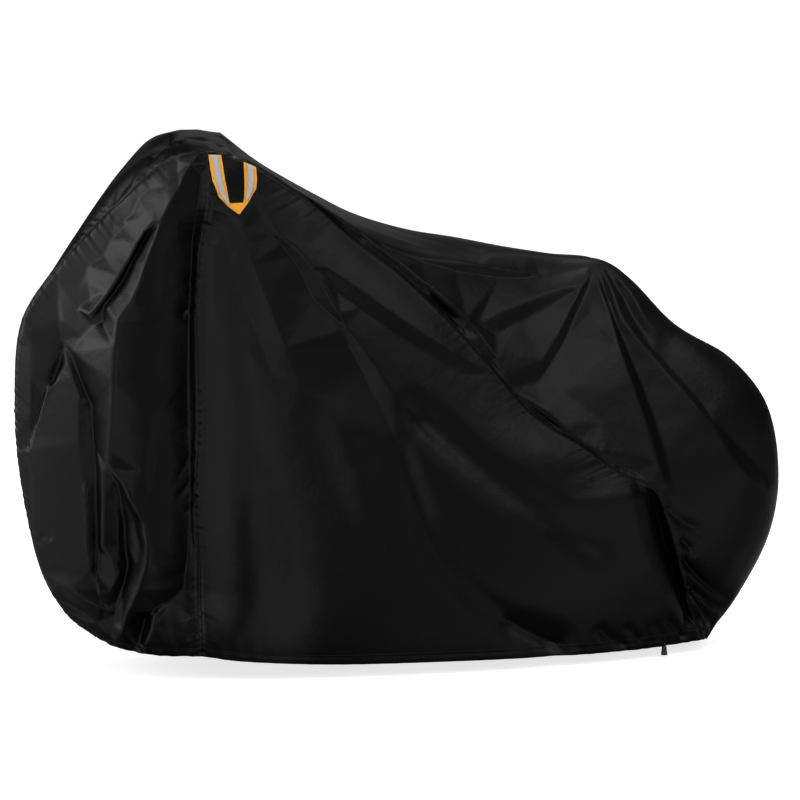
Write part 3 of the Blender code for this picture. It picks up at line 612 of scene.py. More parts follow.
# Seam point, shoulder and ridge (x, y, z each) of the ribs under the top and rear panel.
RIBS = {
    "rear hem": (1.086, -0.100, 0.026, 1.110, -0.060, 0.021, 1.131, 0.0, 0.019),
    "rear low": (1.052, -0.118, 0.125, 1.150, -0.078, 0.145, 1.205, 0.0, 0.112),
    "rear wheel": (1.020, -0.135, 0.215, 1.185, -0.088, 0.270, 1.278, 0.0, 0.250),
    "rear axle": (0.995, -0.148, 0.290, 1.190, -0.090, 0.400, 1.300, 0.0, 0.395),
    "rear brow": (0.975, -0.157, 0.340, 1.160, -0.088, 0.540, 1.268, 0.0, 0.555),
    "rear top": (0.951, -0.165, 0.385, 1.075, -0.085, 0.645, 1.170, 0.0, 0.670),
    "rear dip": (0.903, -0.172, 0.411, 0.985, -0.080, 0.735, 1.045, 0.0, 0.733),
    "saddle back": (0.845, -0.180, 0.442, 0.905, -0.078, 0.822, 0.945, 0.0, 0.825),
    "saddle": (0.783, -0.187, 0.488, 0.845, -0.072, 0.862, 0.860, 0.0, 0.880),
    "saddle nose": (0.655, -0.195, 0.571, 0.740, -0.085, 0.868, 0.750, 0.0, 0.906),
    "behind post": (0.562, -0.200, 0.675, 0.620, -0.110, 0.888, 0.640, 0.0, 0.927),
    "post": (0.455, -0.210, 0.790, 0.500, -0.145, 0.908, 0.525, 0.0, 0.950),
    "frame": (0.349, -0.220, 0.889, 0.385, -0.172, 0.935, 0.415, 0.0, 0.969),
    "stem side": (0.243, -0.235, 0.968, 0.262, -0.206, 0.985, 0.300, 0.0, 1.003),
    "behind bar": (0.156, -0.252, 1.041, 0.160, -0.230, 1.048, 0.210, 0.0, 1.046),
    "bar back": (0.029, -0.280, 1.123, 0.040, -0.215, 1.116, 0.080, 0.0, 1.120),
    "bar": (-0.037, -0.290, 1.152, -0.035, -0.200, 1.166, -0.008, 0.0, 1.187),
}
# x, y and z along the near hem, backwards.
FRONT_HEM = {
    "front hem": (-0.300, -0.060, 0.085),
    "front tuck": (-0.262, -0.105, 0.070),
    "front swell": (-0.185, -0.145, 0.056),
    "upright seam": (-0.084, -0.180, 0.055),
}
SIDE_HEM = {
    "upright seam": (-0.084, -0.180, 0.055),
    "front wheel": (0.018, -0.200, 0.042),
    "crank front": (0.214, -0.222, 0.032),
    "crank": (0.485, -0.225, 0.028),
    "stay": (0.720, -0.205, 0.025),
    "rear wheel": (0.916, -0.165, 0.024),
    "slanting seam": (1.086, -0.100, 0.026),
}


def curve_of(rows: dict[str, tuple[float, ...]]) -> SmoothCurve:
    """Curve through the rows of a named table."""
    return SmoothCurve(np.array(list(rows.values())))


SLANT_DRAWN = 0.45  # how strongly the stitching draws up the slanting seams


class EdgeKind(Enum):
    """How an edge of a panel is finished."""

    LAPPED = "lapped"
    TUCKED = "tucked"


@dataclass(frozen=True)
class SeamStyle:
    """Sizes of a felled seam and of the hem's channel.

    Attributes:
        columns: Distances from a seam at which the cloth has points.
        lap: Width of the lap.
        lap_height: How far the lap stands above the cloth.
        lap_rise: Distances from the seam between which the lap comes up.
        lap_fall: The same from its own edge, between which it drops to the cloth.
        groove: Depth and width of the groove along the seam.
        rows: Distances of the two stitch rows from the seam; not used.
        pucker: Height of the puckers that the stitching draws up.
        pucker_reach: Distance over which the puckers die out.
        pucker_waves: Wavelengths of the puckers along the seam, with the share of each.
        pucker_slant: How far the puckers lean along the seam for each step away from it.
        pucker_phase: Turn between one wave and the next, in radians.
        pucker_swells: Lengths over which the puckers grow and fade along the seam.
        pucker_swell: Their middle height, its change and the turn of that change in radians.
        pucker_spread: Share of their reach at no height, and what full height adds to it.
        pucker_end: Shares of the seam between which they stop at the handle end.
        channel: Width of the hem's channel.
        channel_shape: Middle and half width of its bulge, as shares of its width.
        channel_height: How far the channel stands out.
        channel_groove: Lift and width of the groove along its stitches.
        gather: Height of the gathers that the elastic draws up.
        gather_waves: Share, slant, wavelength and phase of each wave of the gathers.
        gather_reach: Distance over which the gathers die out.
        gather_rest: Distance from a seam over which they come up.
    """

    columns: tuple[float, ...] = (0.0, 0.0014, 0.0034, 0.0060, 0.0086, 0.0108, 0.0124, 0.0155)
    lap: float = 0.0116
    lap_height: float = 0.0006
    lap_rise: Place = (0.0004, 0.0020)
    lap_fall: Place = (-0.0006, 0.0010)
    groove: Place = (0.0032, 0.0046)
    rows: Place = (0.0034, 0.0086)
    pucker: float = 0.0030
    pucker_reach: float = 0.017
    pucker_waves: tuple[Place, ...] = ((0.0145, 0.45), (0.023, 0.45), (0.052, 0.35))
    pucker_slant: float = 0.4
    pucker_phase: float = 1.7
    pucker_swells: Place = (0.31, 0.83)
    pucker_swell: tuple[float, float, float] = (0.55, 0.45, 0.6)
    pucker_spread: Place = (0.6, 0.9)
    pucker_end: Place = (0.90, 0.99)
    channel: float = 0.017
    channel_shape: Place = (0.45, 0.38)
    channel_height: float = 0.0007
    channel_groove: Place = (-0.0006, 0.0026)
    gather: float = 0.0036
    gather_waves: tuple[tuple[float, float, float, float], ...] = (
        (0.6, 0.25, 0.038, 0.0), (0.4, -0.2, 0.059, 1.1), (0.25, 0.0, 0.024, 2.3))
    gather_reach: float = 0.045
    gather_rest: float = 0.030

    def puckers(self, run: Array, share: Array, away: Array) -> Array:
        """Height of the puckers.

        Args:
            run: Distance along the seam from the hem.
            share: The same as a share of the seam, so that the puckers stop at the handle end.
            away: Distance from the seam.

        Returns:
            Height at each place, the same on both sides of the seam where they meet.
        """
        wave = np.zeros_like(run)
        for number, (length, part) in enumerate(self.pucker_waves):
            place = run + self.pucker_slant * away
            wave = wave + part * np.sin(2 * np.pi * place / length + self.pucker_phase * number)
        short, long = (2 * np.pi * run / length for length in self.pucker_swells)
        middle, change, turn = self.pucker_swell
        swell = middle + change * np.sin(short + turn) * np.sin(long)
        least, more = self.pucker_spread
        reach = self.pucker_reach * (least + more * swell)
        ends = 1 - fade(share, *self.pucker_end)
        return self.pucker * swell * ends * wave * np.exp(-away / reach)

    def edge(self, kind: EdgeKind, away: Array) -> Array:
        """Lift of the lap and the groove beside a seam of one kind."""
        depth, width = self.groove
        lift = -depth * np.exp(-(away / width) ** 2)
        if kind is EdgeKind.LAPPED:
            before, after = self.lap_fall
            lift = lift + self.lap_height * fade(away, *self.lap_rise) * (
                1 - fade(away, self.lap + before, self.lap + after))
        return lift

    def hem(self, along: Array, up: Array, from_seams: Array, strength: Array) -> Array:
        """Lift of the hem's channel and of its gathers.

        Args:
            along: Distance along the hem.
            up: Distance above the hem.
            from_seams: Distance to the nearest seam, where the gathers rest.
            strength: How strongly the elastic draws there, about 1.

        Returns:
            Lift at each place.
        """
        middle, width = (share * self.channel for share in self.channel_shape)
        channel = self.channel_height * np.exp(-((up - middle) / width) ** 2)
        depth, width = self.channel_groove
        groove = depth * np.exp(-((up - self.channel) / width) ** 2)
        wave = sum(part * np.sin(2 * np.pi * (along + slant * up) / length + phase)
                   for part, slant, length, phase in self.gather_waves)
        still = fade(from_seams, 0.0, self.gather_rest)
        gathers = self.gather * strength * still * wave * np.exp(-up / self.gather_reach)
        return channel + groove + gathers


@dataclass
class PanelGrid:
    """Points of one cloth panel, hem row first, with what is known along its edges.

    Attributes:
        points: Points in rows and columns, measured from the floor.
        run: Distance of each row along the left and the right seam, from the hem.
        share: The same as a share of the seams.
        left: Finish of the first column's edge.
        right: Finish of the last column's edge.
        strength: How strongly the hem's elastic draws at each column.
        drawn: How strongly the stitching draws up the left and the right seam, about 1.
    """

    points: Array
    run: tuple[Array, Array]
    share: Array
    left: EdgeKind
    right: EdgeKind
    strength: Array
    drawn: Place = (1.0, 1.0)

    INNER = 8  # column behind the seam's border, towards which distances are measured
    LEAST_SLANT = 0.25
    TINY = 1e-12

    def flipped(self) -> "PanelGrid":
        """The same grid with its columns in the other order."""
        return PanelGrid(self.points[:, ::-1], self.run[::-1], self.share, self.right, self.left,
                         self.strength[::-1], self.drawn[::-1])

    def away(self, column: int) -> Array:
        """Distance of every point from the seam at the first (0) or the last (-1) column."""
        run = run_along(self.points, 1)
        if column == -1:
            run = run[:, -1:] - run
        inner = self.INNER if column == 0 else -1 - self.INNER
        across = self.points[:, inner] - self.points[:, column]
        along = np.gradient(self.points[:, column], axis=0)
        across /= np.linalg.norm(across, axis=1, keepdims=True)
        along /= np.linalg.norm(along, axis=1, keepdims=True) + self.TINY
        slant = np.linalg.norm(np.cross(across, along), axis=1)
        return run * np.clip(slant, self.LEAST_SLANT, 1.0)[:, None]

    def up(self) -> Array:
        """Distance of every point above the hem."""
        return run_along(self.points)


class Drape:
    """Seams and surfaces of the cover at any fineness, from the tables."""

    HEM_SHARES = (0.0, 0.0020, 0.0045, 0.0075, 0.0105, 0.0130, 0.0150, 0.0170, 0.0195, 0.0225)
    COARSE_ROWS = 35.0
    BAR_ROWS = 3.0
    BAR_BULGE = 4.0
    BAR_HALF = -0.29  # half the gusset's width at the bar, towards the near side
    WIDEST_BORDERS = 0.42  # share of a panel that one seam's border may take
    FRONT_GATHER = 1.1
    GUSSET_GATHER = 0.8
    SIDE_GATHER = 0.25
    REAR_GATHER = (0.75, 0.70, 0.92)  # more towards the rear, and between which x it comes up
    UPRIGHT_GATHER = (0.5, -0.05, 0.05)  # more beside the upright seam, the same way

    def __init__(self, rows: int, style: SeamStyle) -> None:
        """Reads the seams for a number of rows and a seam style."""
        self.style = style
        rest = np.linspace(self.HEM_SHARES[-1], 1.0, rows - len(self.HEM_SHARES) + 1)
        self.share = np.concatenate([self.HEM_SHARES[:-1], rest])
        x, z, near, far, setback, self.front_crown = curve_of(FRONT_SEAM).at(self.share).T
        self.front_near = np.stack([x, -near, z], axis=1)
        self.front_far = np.stack([x + setback, far, z], axis=1)
        self.upright_line = curve_of(UPRIGHT_SEAM).at(self.share)
        self.rib_rows = curve_of(RIBS).at(self.share)
        self.slant_line = self.rib_rows[:, 0:3]
        self.upright_run = run_along(self.upright_line)
        self.slant_run = run_along(self.slant_line)

    def across(self, lengths: Array, middle: Array) -> Array:
        """Shares of a panel's width at which it has points, closer together beside both seams.

        Args:
            lengths: Width of the panel at each row.
            middle: Shares of the plain cloth between the two seam borders.

        Returns:
            Shares in rows and columns.
        """
        border = np.array(self.style.columns)
        left = border[None] / lengths[:, None]
        limit = np.minimum(1.0, self.WIDEST_BORDERS / left[:, -1:])
        left = left * limit
        start = left[:, -1:]
        inner = start + (1 - 2 * start) * middle[None]
        return np.hstack([left[:, :-1], inner, 1 - left[:, :-1][:, ::-1]])

    def quad(self, left: Array, right: Array, hem: SmoothCurve, middle: Array) -> Array:
        """Surface between two seams, a hem and the straight edge at the handle end."""
        u = self.across(np.linalg.norm(right - left, axis=1), middle)
        v = np.broadcast_to(self.share[:, None], u.shape)
        bottom = hem.at(u)
        top = blend_rows(u, left[-1], right[-1])
        sides = blend_rows(u, left[:, None], right[:, None])
        ends = blend_rows(v, bottom, top)
        corners = blend_rows(v, blend_rows(u, left[0], right[0]), blend_rows(u, left[-1], right[-1]))
        return sides + ends - corners

    def side(self, columns: int) -> PanelGrid:
        """Near side panel, from the upright seam to the slanting seam."""
        middle = np.linspace(0.0, 1.0, columns)
        points = self.quad(self.upright_line, self.slant_line, curve_of(SIDE_HEM), middle)
        x = points[0, :, 0]
        rear, *rear_rise = self.REAR_GATHER
        upright, *upright_fall = self.UPRIGHT_GATHER
        strength = self.SIDE_GATHER + rear * fade(x, *rear_rise) + upright * (
            1 - fade(x, *upright_fall))
        return PanelGrid(points, (self.upright_run, self.slant_run), self.share,
                         EdgeKind.TUCKED, EdgeKind.LAPPED, strength, (1.0, SLANT_DRAWN))

    def front_panel(self, left: Array, right: Array, hem: SmoothCurve, columns: int) -> PanelGrid:
        """Front panel from its gusset edge to its upright seam."""
        points = self.quad(left, right, hem, np.linspace(0.0, 1.0, columns))
        return PanelGrid(points, (run_along(left), self.upright_run), self.share,
                         EdgeKind.TUCKED, EdgeKind.LAPPED,
                         np.full(points.shape[1], self.FRONT_GATHER))

    def near_front(self, columns: int) -> PanelGrid:
        """Near front panel, from the gusset to the upright seam."""
        return self.front_panel(self.front_near, self.upright_line, curve_of(FRONT_HEM), columns)

    def far_front(self, columns: int) -> PanelGrid:
        """Far front panel, mirrored but for its gusset edge."""
        hem = mirrored(np.array(list(FRONT_HEM.values())))
        hem[0] = self.front_far[0]
        return self.front_panel(self.front_far, mirrored(self.upright_line), SmoothCurve(hem),
                                columns).flipped()

    def far_side(self, columns: int) -> PanelGrid:
        """Far side panel, the mirror of the near one."""
        grid = self.side(columns)
        grid.points = mirrored(grid.points)
        return grid.flipped()

    def rib(self, row: Array) -> SmoothCurve:
        """Curve over the roof from seam to seam through one row of the ribs."""
        seam, shoulder, ridge = row[0:3], row[3:6], row[6:9]
        return SmoothCurve([seam, shoulder, ridge, mirrored(shoulder), mirrored(seam)])

    def roof(self, near_columns: int, far_columns: int) -> PanelGrid:
        """Top and rear panel, from the near slanting seam over the ridge to the far one."""
        ribs = [self.rib(row) for row in self.rib_rows]
        lengths = np.array([rib.length for rib in ribs])
        middle = np.concatenate([np.linspace(0.0, 0.5, near_columns, endpoint=False),
                                 np.linspace(0.5, 1.0, far_columns)])
        u = self.across(lengths, middle)
        points = np.array([rib.at(shares) for rib, shares in zip(ribs, u)])
        return PanelGrid(points, (self.slant_run, self.slant_run), self.share,
                         EdgeKind.TUCKED, EdgeKind.TUCKED, np.full(points.shape[1], 1.0),
                         (SLANT_DRAWN, SLANT_DRAWN))

    def gusset(self, columns: int, bar_rows: int) -> PanelGrid:
        """Front gusset, from the front hem over the wheel to the bar."""
        over = np.linspace(0.0, 1.0, bar_rows + 1)[1:]
        near_top = blend_rows(over, self.upright_line[-1], self.slant_line[-1])
        near = np.vstack([self.front_near, near_top])
        far_top = mirrored(near_top)
        far = np.vstack([self.front_far, far_top])
        crown = np.concatenate([self.front_crown, np.full(bar_rows, self.front_crown[-1])])
        along = np.gradient(0.5 * (near + far), axis=0)
        out = np.stack([-along[:, 2], 0 * along[:, 0], along[:, 0]], axis=1)
        out /= np.linalg.norm(out, axis=1, keepdims=True)
        u = self.across(np.linalg.norm(far - near, axis=1), np.linspace(0.0, 1.0, columns))
        chord = blend_rows(u, near[:, None], far[:, None])
        bulge = 2 + self.BAR_BULGE * np.clip((0.5 * (near - far)[:, 1]) / self.BAR_HALF, 0.0,
                                              1.0) ** 2
        arch = ((1 - np.abs(2 * u - 1) ** bulge[:, None]) * crown[:, None])[..., None] * out[:, None]
        last = self.rib(self.rib_rows[-1]).at(u) - blend_rows(u, near[-1], far[-1])
        place = np.concatenate([(self.share - 1) * self.COARSE_ROWS - self.BAR_ROWS,
                                (over - 1) * self.BAR_ROWS])
        share = fade(place, -3 * self.BAR_ROWS, 0.0)[:, None, None]
        points = chord + (1 - share) * arch + share * last
        shares = np.concatenate([self.share, np.ones(bar_rows)])
        grid = PanelGrid(points, (run_along(near), run_along(far)), shares, EdgeKind.LAPPED,
                         EdgeKind.LAPPED, np.full(points.shape[1], self.GUSSET_GATHER))
        return grid.flipped()


RIM_STEP = 8  # every how many points the rim of a panel is joined to its facets
FACET_RISE = 0.006  # distance from a seam over which the facets come up
FACET_SOFTENING = 1


def finished(grid: PanelGrid, style: SeamStyle, pressing: Pressing,
             creases: CreaseTable | None = None) -> Array:
    """Gives a panel its folds, facets, laps, puckers and hem.

    Args:
        grid: The plain panel, measured from the floor.
        style: Sizes of the seams and the hem.
        pressing: The folds.
        creases: Crease lines of its flat facets, if it has any.

    Returns:
        Points of the finished panel, still measured from the floor.
    """
    points = grid.points.reshape(-1, 3)
    shape = grid.points.shape[:2]
    lift = pressing.lift(points).reshape(shape)
    if creases:
        ridge = int((grid.points[shape[0] // 2, :, 1] < 0).sum())
        near = grid.points[:, :ridge]
        rims = [line[::RIM_STEP][:, [0, 2]] for line in (near[:, 0], near[:, -1], near[0],
                                                         near[-1])]
        net = FacetNet(creases, rims)
        facets = np.where(points[:, 1] < 0, net.lift(points[:, [0, 2]]), 0.0).reshape(shape)
        facets = facets * fade(grid.away(0), 0.0, FACET_RISE) * fade(grid.away(-1), 0.0, FACET_RISE)
        lift = lift + softened(facets, FACET_SOFTENING)
    share = np.broadcast_to(grid.share[:, None], shape)
    distances = []
    for column, kind, run, drawn in zip((0, -1), (grid.left, grid.right), grid.run, grid.drawn):
        away = grid.away(column)
        distances.append(away)
        lift = lift + style.edge(kind, away)
        lift = lift + drawn * style.puckers(np.broadcast_to(run[:, None], shape), share, away)
    up = grid.up()
    along = np.broadcast_to(run_along(grid.points[0])[None], shape)
    from_seams = np.minimum(*distances)
    lift = lift + style.hem(along, up, from_seams, grid.strength[None])
    out = pressing.outwards(points).reshape(*shape, 3)
    raised = sum(fold.lift(points[:, :2]) for fold in BAR_FOLDS).reshape(shape)
    raised = raised * fade(points[:, 2], *BAR_HEIGHTS).reshape(shape)
    raised = raised * fade(from_seams, 0.0, BAR_FADE)
    return grid.points + lift[..., None] * out + raised[..., None] * np.array(BAR_PUSH)


# Meshes -----------------------------------------------------------------------------------
def linked(name: str, data: bpy.types.ID) -> Object:
    """A new object on its data, linked to the scene."""
    obj = bpy.data.objects.new(name, data)
    bpy.context.scene.collection.objects.link(obj)
    return obj


def mesh_from(bm: bmesh.types.BMesh, name: str) -> Mesh:
    """A mesh with the faces of a bmesh, which is freed."""
    mesh = bpy.data.meshes.new(name)
    bm.to_mesh(mesh)
    bm.free()
    return mesh


def smooth(mesh: Mesh) -> None:
    """Shades every face smoothly."""
    mesh.polygons.foreach_set("use_smooth", np.ones(len(mesh.polygons), dtype=bool))


def sheet_object(name: str, points: Array, flat_map: Array, wear: Array | None = None,
                 thickness: float = 0.0008) -> Object:
    """Thin closed sheet through a grid of points.

    Args:
        name: Name of the new piece.
        points: Points in rows and columns, in the frame of the loaded model.
        flat_map: Place of each point on the flat cloth, in metres, for patterns.
        wear: How close each point is to a stitched edge, from 0 to 1.
        thickness: Thickness of the cloth, laid on outwards.

    Returns:
        The new object, linked to the scene.
    """
    rows, columns = points.shape[:2]
    half = 0.5
    bm = bmesh.new()
    bmesh.ops.create_grid(bm, x_segments=columns - 1, y_segments=rows - 1, size=half)
    mesh = mesh_from(bm, name)
    flat = np.empty(len(mesh.vertices) * 3)
    mesh.vertices.foreach_get("co", flat)
    flat = flat.reshape(-1, 3)
    column = np.rint((flat[:, 0] + half) * (columns - 1)).astype(int)
    row = np.rint((flat[:, 1] + half) * (rows - 1)).astype(int)
    mesh.vertices.foreach_set("co", points[row, column].ravel())
    corners = np.empty(len(mesh.loops), dtype=np.int32)
    mesh.loops.foreach_get("vertex_index", corners)
    layer = mesh.uv_layers.new(name="cloth")
    layer.uv.foreach_set("vector", flat_map[row, column][corners].ravel())
    if wear is not None:
        attribute = mesh.attributes.new("stitched_edge", "FLOAT", "POINT")
        attribute.data.foreach_set("value", wear[row, column].astype(np.float32))
    smooth(mesh)
    mesh.update()
    obj = linked(name, mesh)
    solid = obj.modifiers.new("thickness", "SOLIDIFY")
    solid.thickness = thickness
    solid.offset = 1.0
    solid.use_even_offset = False
    return obj


def flat_map_of(points: Array) -> Array:
    """Place of each point of a grid on its flat cloth, measured along rows and up columns."""
    across = run_along(points, 1)
    across -= 0.5 * across[:, -1:]
    return np.stack([across, run_along(points)], axis=-1)


def curve_mesh(name: str, splines: list[Array], radius: float) -> Object:
    """Mesh of many short threads with four sides each.

    Args:
        name: Name of the new piece.
        splines: Points of each thread.
        radius: Radius of every thread.

    Returns:
        The new object, linked to the scene.
    """
    curve = bpy.data.curves.new(name, "CURVE")
    curve.dimensions = "3D"
    curve.bevel_depth = radius
    curve.bevel_resolution = 0
    curve.use_fill_caps = True
    for points in splines:
        spline = curve.splines.new("POLY")
        spline.points.add(len(points) - 1)
        spline.points.foreach_set("co", np.column_stack([points, np.ones(len(points))]).ravel())
    holder = linked(name + "_curve", curve)
    bpy.context.view_layer.update()
    graph = bpy.context.evaluated_depsgraph_get()
    mesh = bpy.data.meshes.new_from_object(holder.evaluated_get(graph))
    mesh.name = name
    bpy.data.objects.remove(holder, do_unlink=True)
    bpy.data.curves.remove(curve)
    return linked(name, mesh)


@dataclass(frozen=True)
class Thread:
    """Sewing thread laid in even stitches along a row of points.

    Attributes:
        pitch: From the start of one stitch to the start of the next.
        length: Length of the part that shows.
        radius: Radius of the thread.
        proud: How far the middle of a stitch stands off the cloth.
    """

    pitch: float = 0.0058
    length: float = 0.0042
    radius: float = 0.00032
    proud: float = 0.0004

    def stitches(self, line: Array, out: Array, base: float) -> list[Array]:
        """Points of each stitch along a line.

        Args:
            line: Points of the seam row.
            out: Unit direction away from the cloth at each point.
            base: Thickness of the cloth that the stitches lie on.

        Returns:
            Three points for each stitch.
        """
        run = run_along(line)
        starts = np.arange(0.5 * self.pitch, run[-1] - self.length, self.pitch)
        shares = starts[:, None] + np.array([0.0, 0.5, 1.0])[None] * self.length
        place = np.stack([np.interp(shares, run, axis) for axis in line.T], axis=-1)
        away = np.stack([np.interp(shares, run, axis) for axis in out.T], axis=-1)
        stand = base + np.array([-0.5 * self.radius, self.proud, -0.5 * self.radius])
        return list(place + stand[None, :, None] * away)


# Finishes ---------------------------------------------------------------------------------
class Wiring:
    """Shorthand for adding and joining nodes in one node tree."""

    def __init__(self, tree: NodeTree) -> None:
        """Works on one tree."""
        self.tree = tree

    def add(self, kind: str, **values: object) -> Node:
        """Adds a node and sets its plain properties by name."""
        node = self.tree.nodes.new(kind)
        for name, value in values.items():
            setattr(node, name, value)
        return node

    def join(self, source: Socket, target: Socket) -> None:
        """Joins two sockets."""
        self.tree.links.new(source, target)

    def feed(self, value: object, target: Socket) -> None:
        """Joins a socket to another, or sets a constant on it."""
        if isinstance(value, Socket):
            self.join(value, target)
        else:
            target.default_value = value

    def math(self, operation: str, *inputs: object) -> Socket:
        """Adds a math node.

        Args:
            operation: Name of Blender's operation.
            inputs: Sockets or numbers, in order.

        Returns:
            The node's output.
        """
        node = self.add("ShaderNodeMath", operation=operation)
        for socket, value in zip(node.inputs, inputs):
            self.feed(value, socket)
        return node.outputs[0]

    def split(self, place: Socket) -> Sockets:
        """Outputs X, Y and Z of a place."""
        parts = self.add("ShaderNodeSeparateXYZ")
        self.join(place, parts.inputs[0])
        return parts.outputs

    def wave(self, place: Socket, turns: Socket) -> Socket:
        """Sine of a place, by half turns for each metre."""
        return self.math("SINE", self.math("MULTIPLY", place, self.math("MULTIPLY", turns, np.pi)))

    def length(self, a: Socket, b: Socket) -> Socket:
        """Length of a step of a one way and b square to it."""
        return self.math("SQRT", self.math("MULTIPLY_ADD", a, a, self.math("MULTIPLY", b, b)))

    def group(self, tree: NodeTree, **inputs: object) -> Sockets:
        """Adds a group with the given sockets or constants and gives its outputs."""
        node = self.add("ShaderNodeGroup", node_tree=tree)
        for name, value in inputs.items():
            self.feed(value, node.inputs[name])
        return node.outputs

    def ramp(self, value: Socket, stops: tuple[Place, ...]) -> Socket:
        """Runs a value from -1 to 1 through stops of place and brightness."""
        node = self.add("ShaderNodeValToRGB")
        node.color_ramp.interpolation = "EASE"
        elements = node.color_ramp.elements
        while len(elements) < len(stops):
            elements.new(0.5)
        for element, (place, tone) in zip(elements, stops):
            element.position = 0.5 + 0.5 * place
            element.color = (tone, tone, tone, 1.0)
        self.join(self.math("MULTIPLY_ADD", value, 0.5, 0.5), node.inputs["Fac"])
        return node.outputs["Color"]

    def noise(self, where: Socket, sizes: tuple[float, float, float]) -> Socket:
        """Adds a noise texture of a scale, detail and roughness and gives its value."""
        node = self.add("ShaderNodeTexNoise")
        for name, value in zip(("Vector", "Scale", "Detail", "Roughness"), (where, *sizes)):
            self.feed(value, node.inputs[name])
        return node.outputs["Fac"]


def new_group(name: str, place: str, values: dict[str, float],
              outputs: tuple[str, ...]) -> tuple[NodeTree, Wiring, dict, dict]:
    """Starts a shader node group.

    Args:
        name: Name of the group.
        place: Name of its input for a place.
        values: First value of each further input.
        outputs: Names of its outputs, which are plain values.

    Returns:
        The tree, its wiring, its input sockets and its output sockets by name.
    """
    tree = bpy.data.node_groups.new(name, "ShaderNodeTree")
    new_socket = tree.interface.new_socket
    new_socket(name=place, in_out="INPUT", socket_type="NodeSocketVector")
    for label, value in values.items():
        new_socket(name=label, in_out="INPUT", socket_type="NodeSocketFloat").default_value = value
    for label in outputs:
        new_socket(name=label, in_out="OUTPUT", socket_type="NodeSocketFloat")
    wiring = Wiring(tree)
    entry = wiring.add("NodeGroupInput")
    leave = wiring.add("NodeGroupOutput")
    return (tree, wiring, {label: entry.outputs[label] for label in (place, *values)},
            {label: leave.inputs[label] for label in outputs})


# Scale, detail and roughness of the noises.
DENTS = (13.0, 2.0, 0.45)
CRINKLES = (46.0, 3.0, 0.55)
MOTTLES = (5.0, 4.0, 0.6)
SLUBS = (160.0, 2.0, 0.5)
BEADS = (700.0, 3.0, 0.6)


def weave_group() -> NodeTree:
    """Group: relief of a plain weave on a flat map in metres."""
    tree, wiring, given, out = new_group("plain_weave", "Map", {"Threads": 1200.0}, ("Height",))
    parts = wiring.split(given["Map"])
    crossing = wiring.math("MULTIPLY", wiring.wave(parts["X"], given["Threads"]),
                           wiring.wave(parts["Y"], given["Threads"]))
    wiring.join(wiring.math("MULTIPLY_ADD", crossing, 0.5, 0.5), out["Height"])
    return tree


def crinkle_group() -> NodeTree:
    """Group: soft dents and fine crinkles of light cloth."""
    tree, wiring, given, out = new_group("soft_crinkle", "Place", {"Fine": 0.35},
                                         ("Height", "Tone"))
    dents = wiring.noise(given["Place"], DENTS)
    crinkles = wiring.noise(given["Place"], CRINKLES)
    ridged = wiring.math("ABSOLUTE", wiring.math("SUBTRACT", crinkles, 0.5))
    fine = wiring.math("MULTIPLY", ridged, given["Fine"])
    wiring.join(wiring.math("ADD", dents, fine), out["Height"])
    wiring.join(wiring.noise(given["Place"], MOTTLES), out["Tone"])
    return tree


def rib_group() -> NodeTree:
    """Group: relief of woven webbing, ribs across and cords along it."""
    tree, wiring, given, out = new_group("webbing_ribs", "Map", {"Ribs": 900.0, "Cords": 700.0},
                                         ("Height", "Tone"))
    parts = wiring.split(given["Map"])
    cords = wiring.math("ABSOLUTE", wiring.wave(parts["X"], given["Cords"]))
    ribs = wiring.math("ABSOLUTE", wiring.wave(parts["Y"], given["Ribs"]))
    wiring.join(wiring.math("MULTIPLY", cords, ribs), out["Height"])
    wiring.join(wiring.noise(given["Map"], SLUBS), out["Tone"])
    return tree


@dataclass
class Groups:
    """Node groups that several finishes share."""

    weave: NodeTree = field(default_factory=weave_group)
    crinkle: NodeTree = field(default_factory=crinkle_group)
    ribs: NodeTree = field(default_factory=rib_group)


@dataclass(frozen=True)
class Finish:
    """Common part of every finish.

    Attributes:
        name: Name of the material.
        dark: Darker colour, linear.
        light: Lighter colour, linear.
        roughness: Lowest and highest roughness.
        specular: Specular level.
    """

    name: str
    dark: tuple[float, float, float]
    light: tuple[float, float, float]
    roughness: Place
    specular: float = 0.5

    def start(self) -> tuple[Material, Wiring, Node]:
        """A new material with its wiring and its shader."""
        material = bpy.data.materials.new(self.name)
        material.use_nodes = True
        shader = material.node_tree.nodes["Principled BSDF"]
        shader.inputs["Specular IOR Level"].default_value = self.specular
        return material, Wiring(material.node_tree), shader

    def colour(self, wiring: Wiring, shader: Node, share: Socket) -> None:
        """Mixes the two colours and the two roughnesses by a share that changes over the piece."""
        mix = wiring.add("ShaderNodeMix", data_type="RGBA")
        mix.inputs["A"].default_value = (*self.dark, 1.0)
        mix.inputs["B"].default_value = (*self.light, 1.0)
        wiring.join(share, mix.inputs["Factor"])
        wiring.join(mix.outputs["Result"], shader.inputs["Base Color"])
        low, high = self.roughness
        wiring.join(wiring.math("MULTIPLY_ADD", share, high - low, low),
                    shader.inputs["Roughness"])

    def relief(self, wiring: Wiring, shader: Node, height: Socket,
               depth: float, under: Node | None = None) -> Node:
        """Adds a bump of a depth in metres, on top of another one if given."""
        bump = wiring.add("ShaderNodeBump")
        for name, value in (("Strength", 1.0), ("Distance", depth), ("Height", height)):
            wiring.feed(value, bump.inputs[name])
        if under is not None:
            wiring.join(under.outputs["Normal"], bump.inputs["Normal"])
        wiring.join(bump.outputs["Normal"], shader.inputs["Normal"])
        return bump


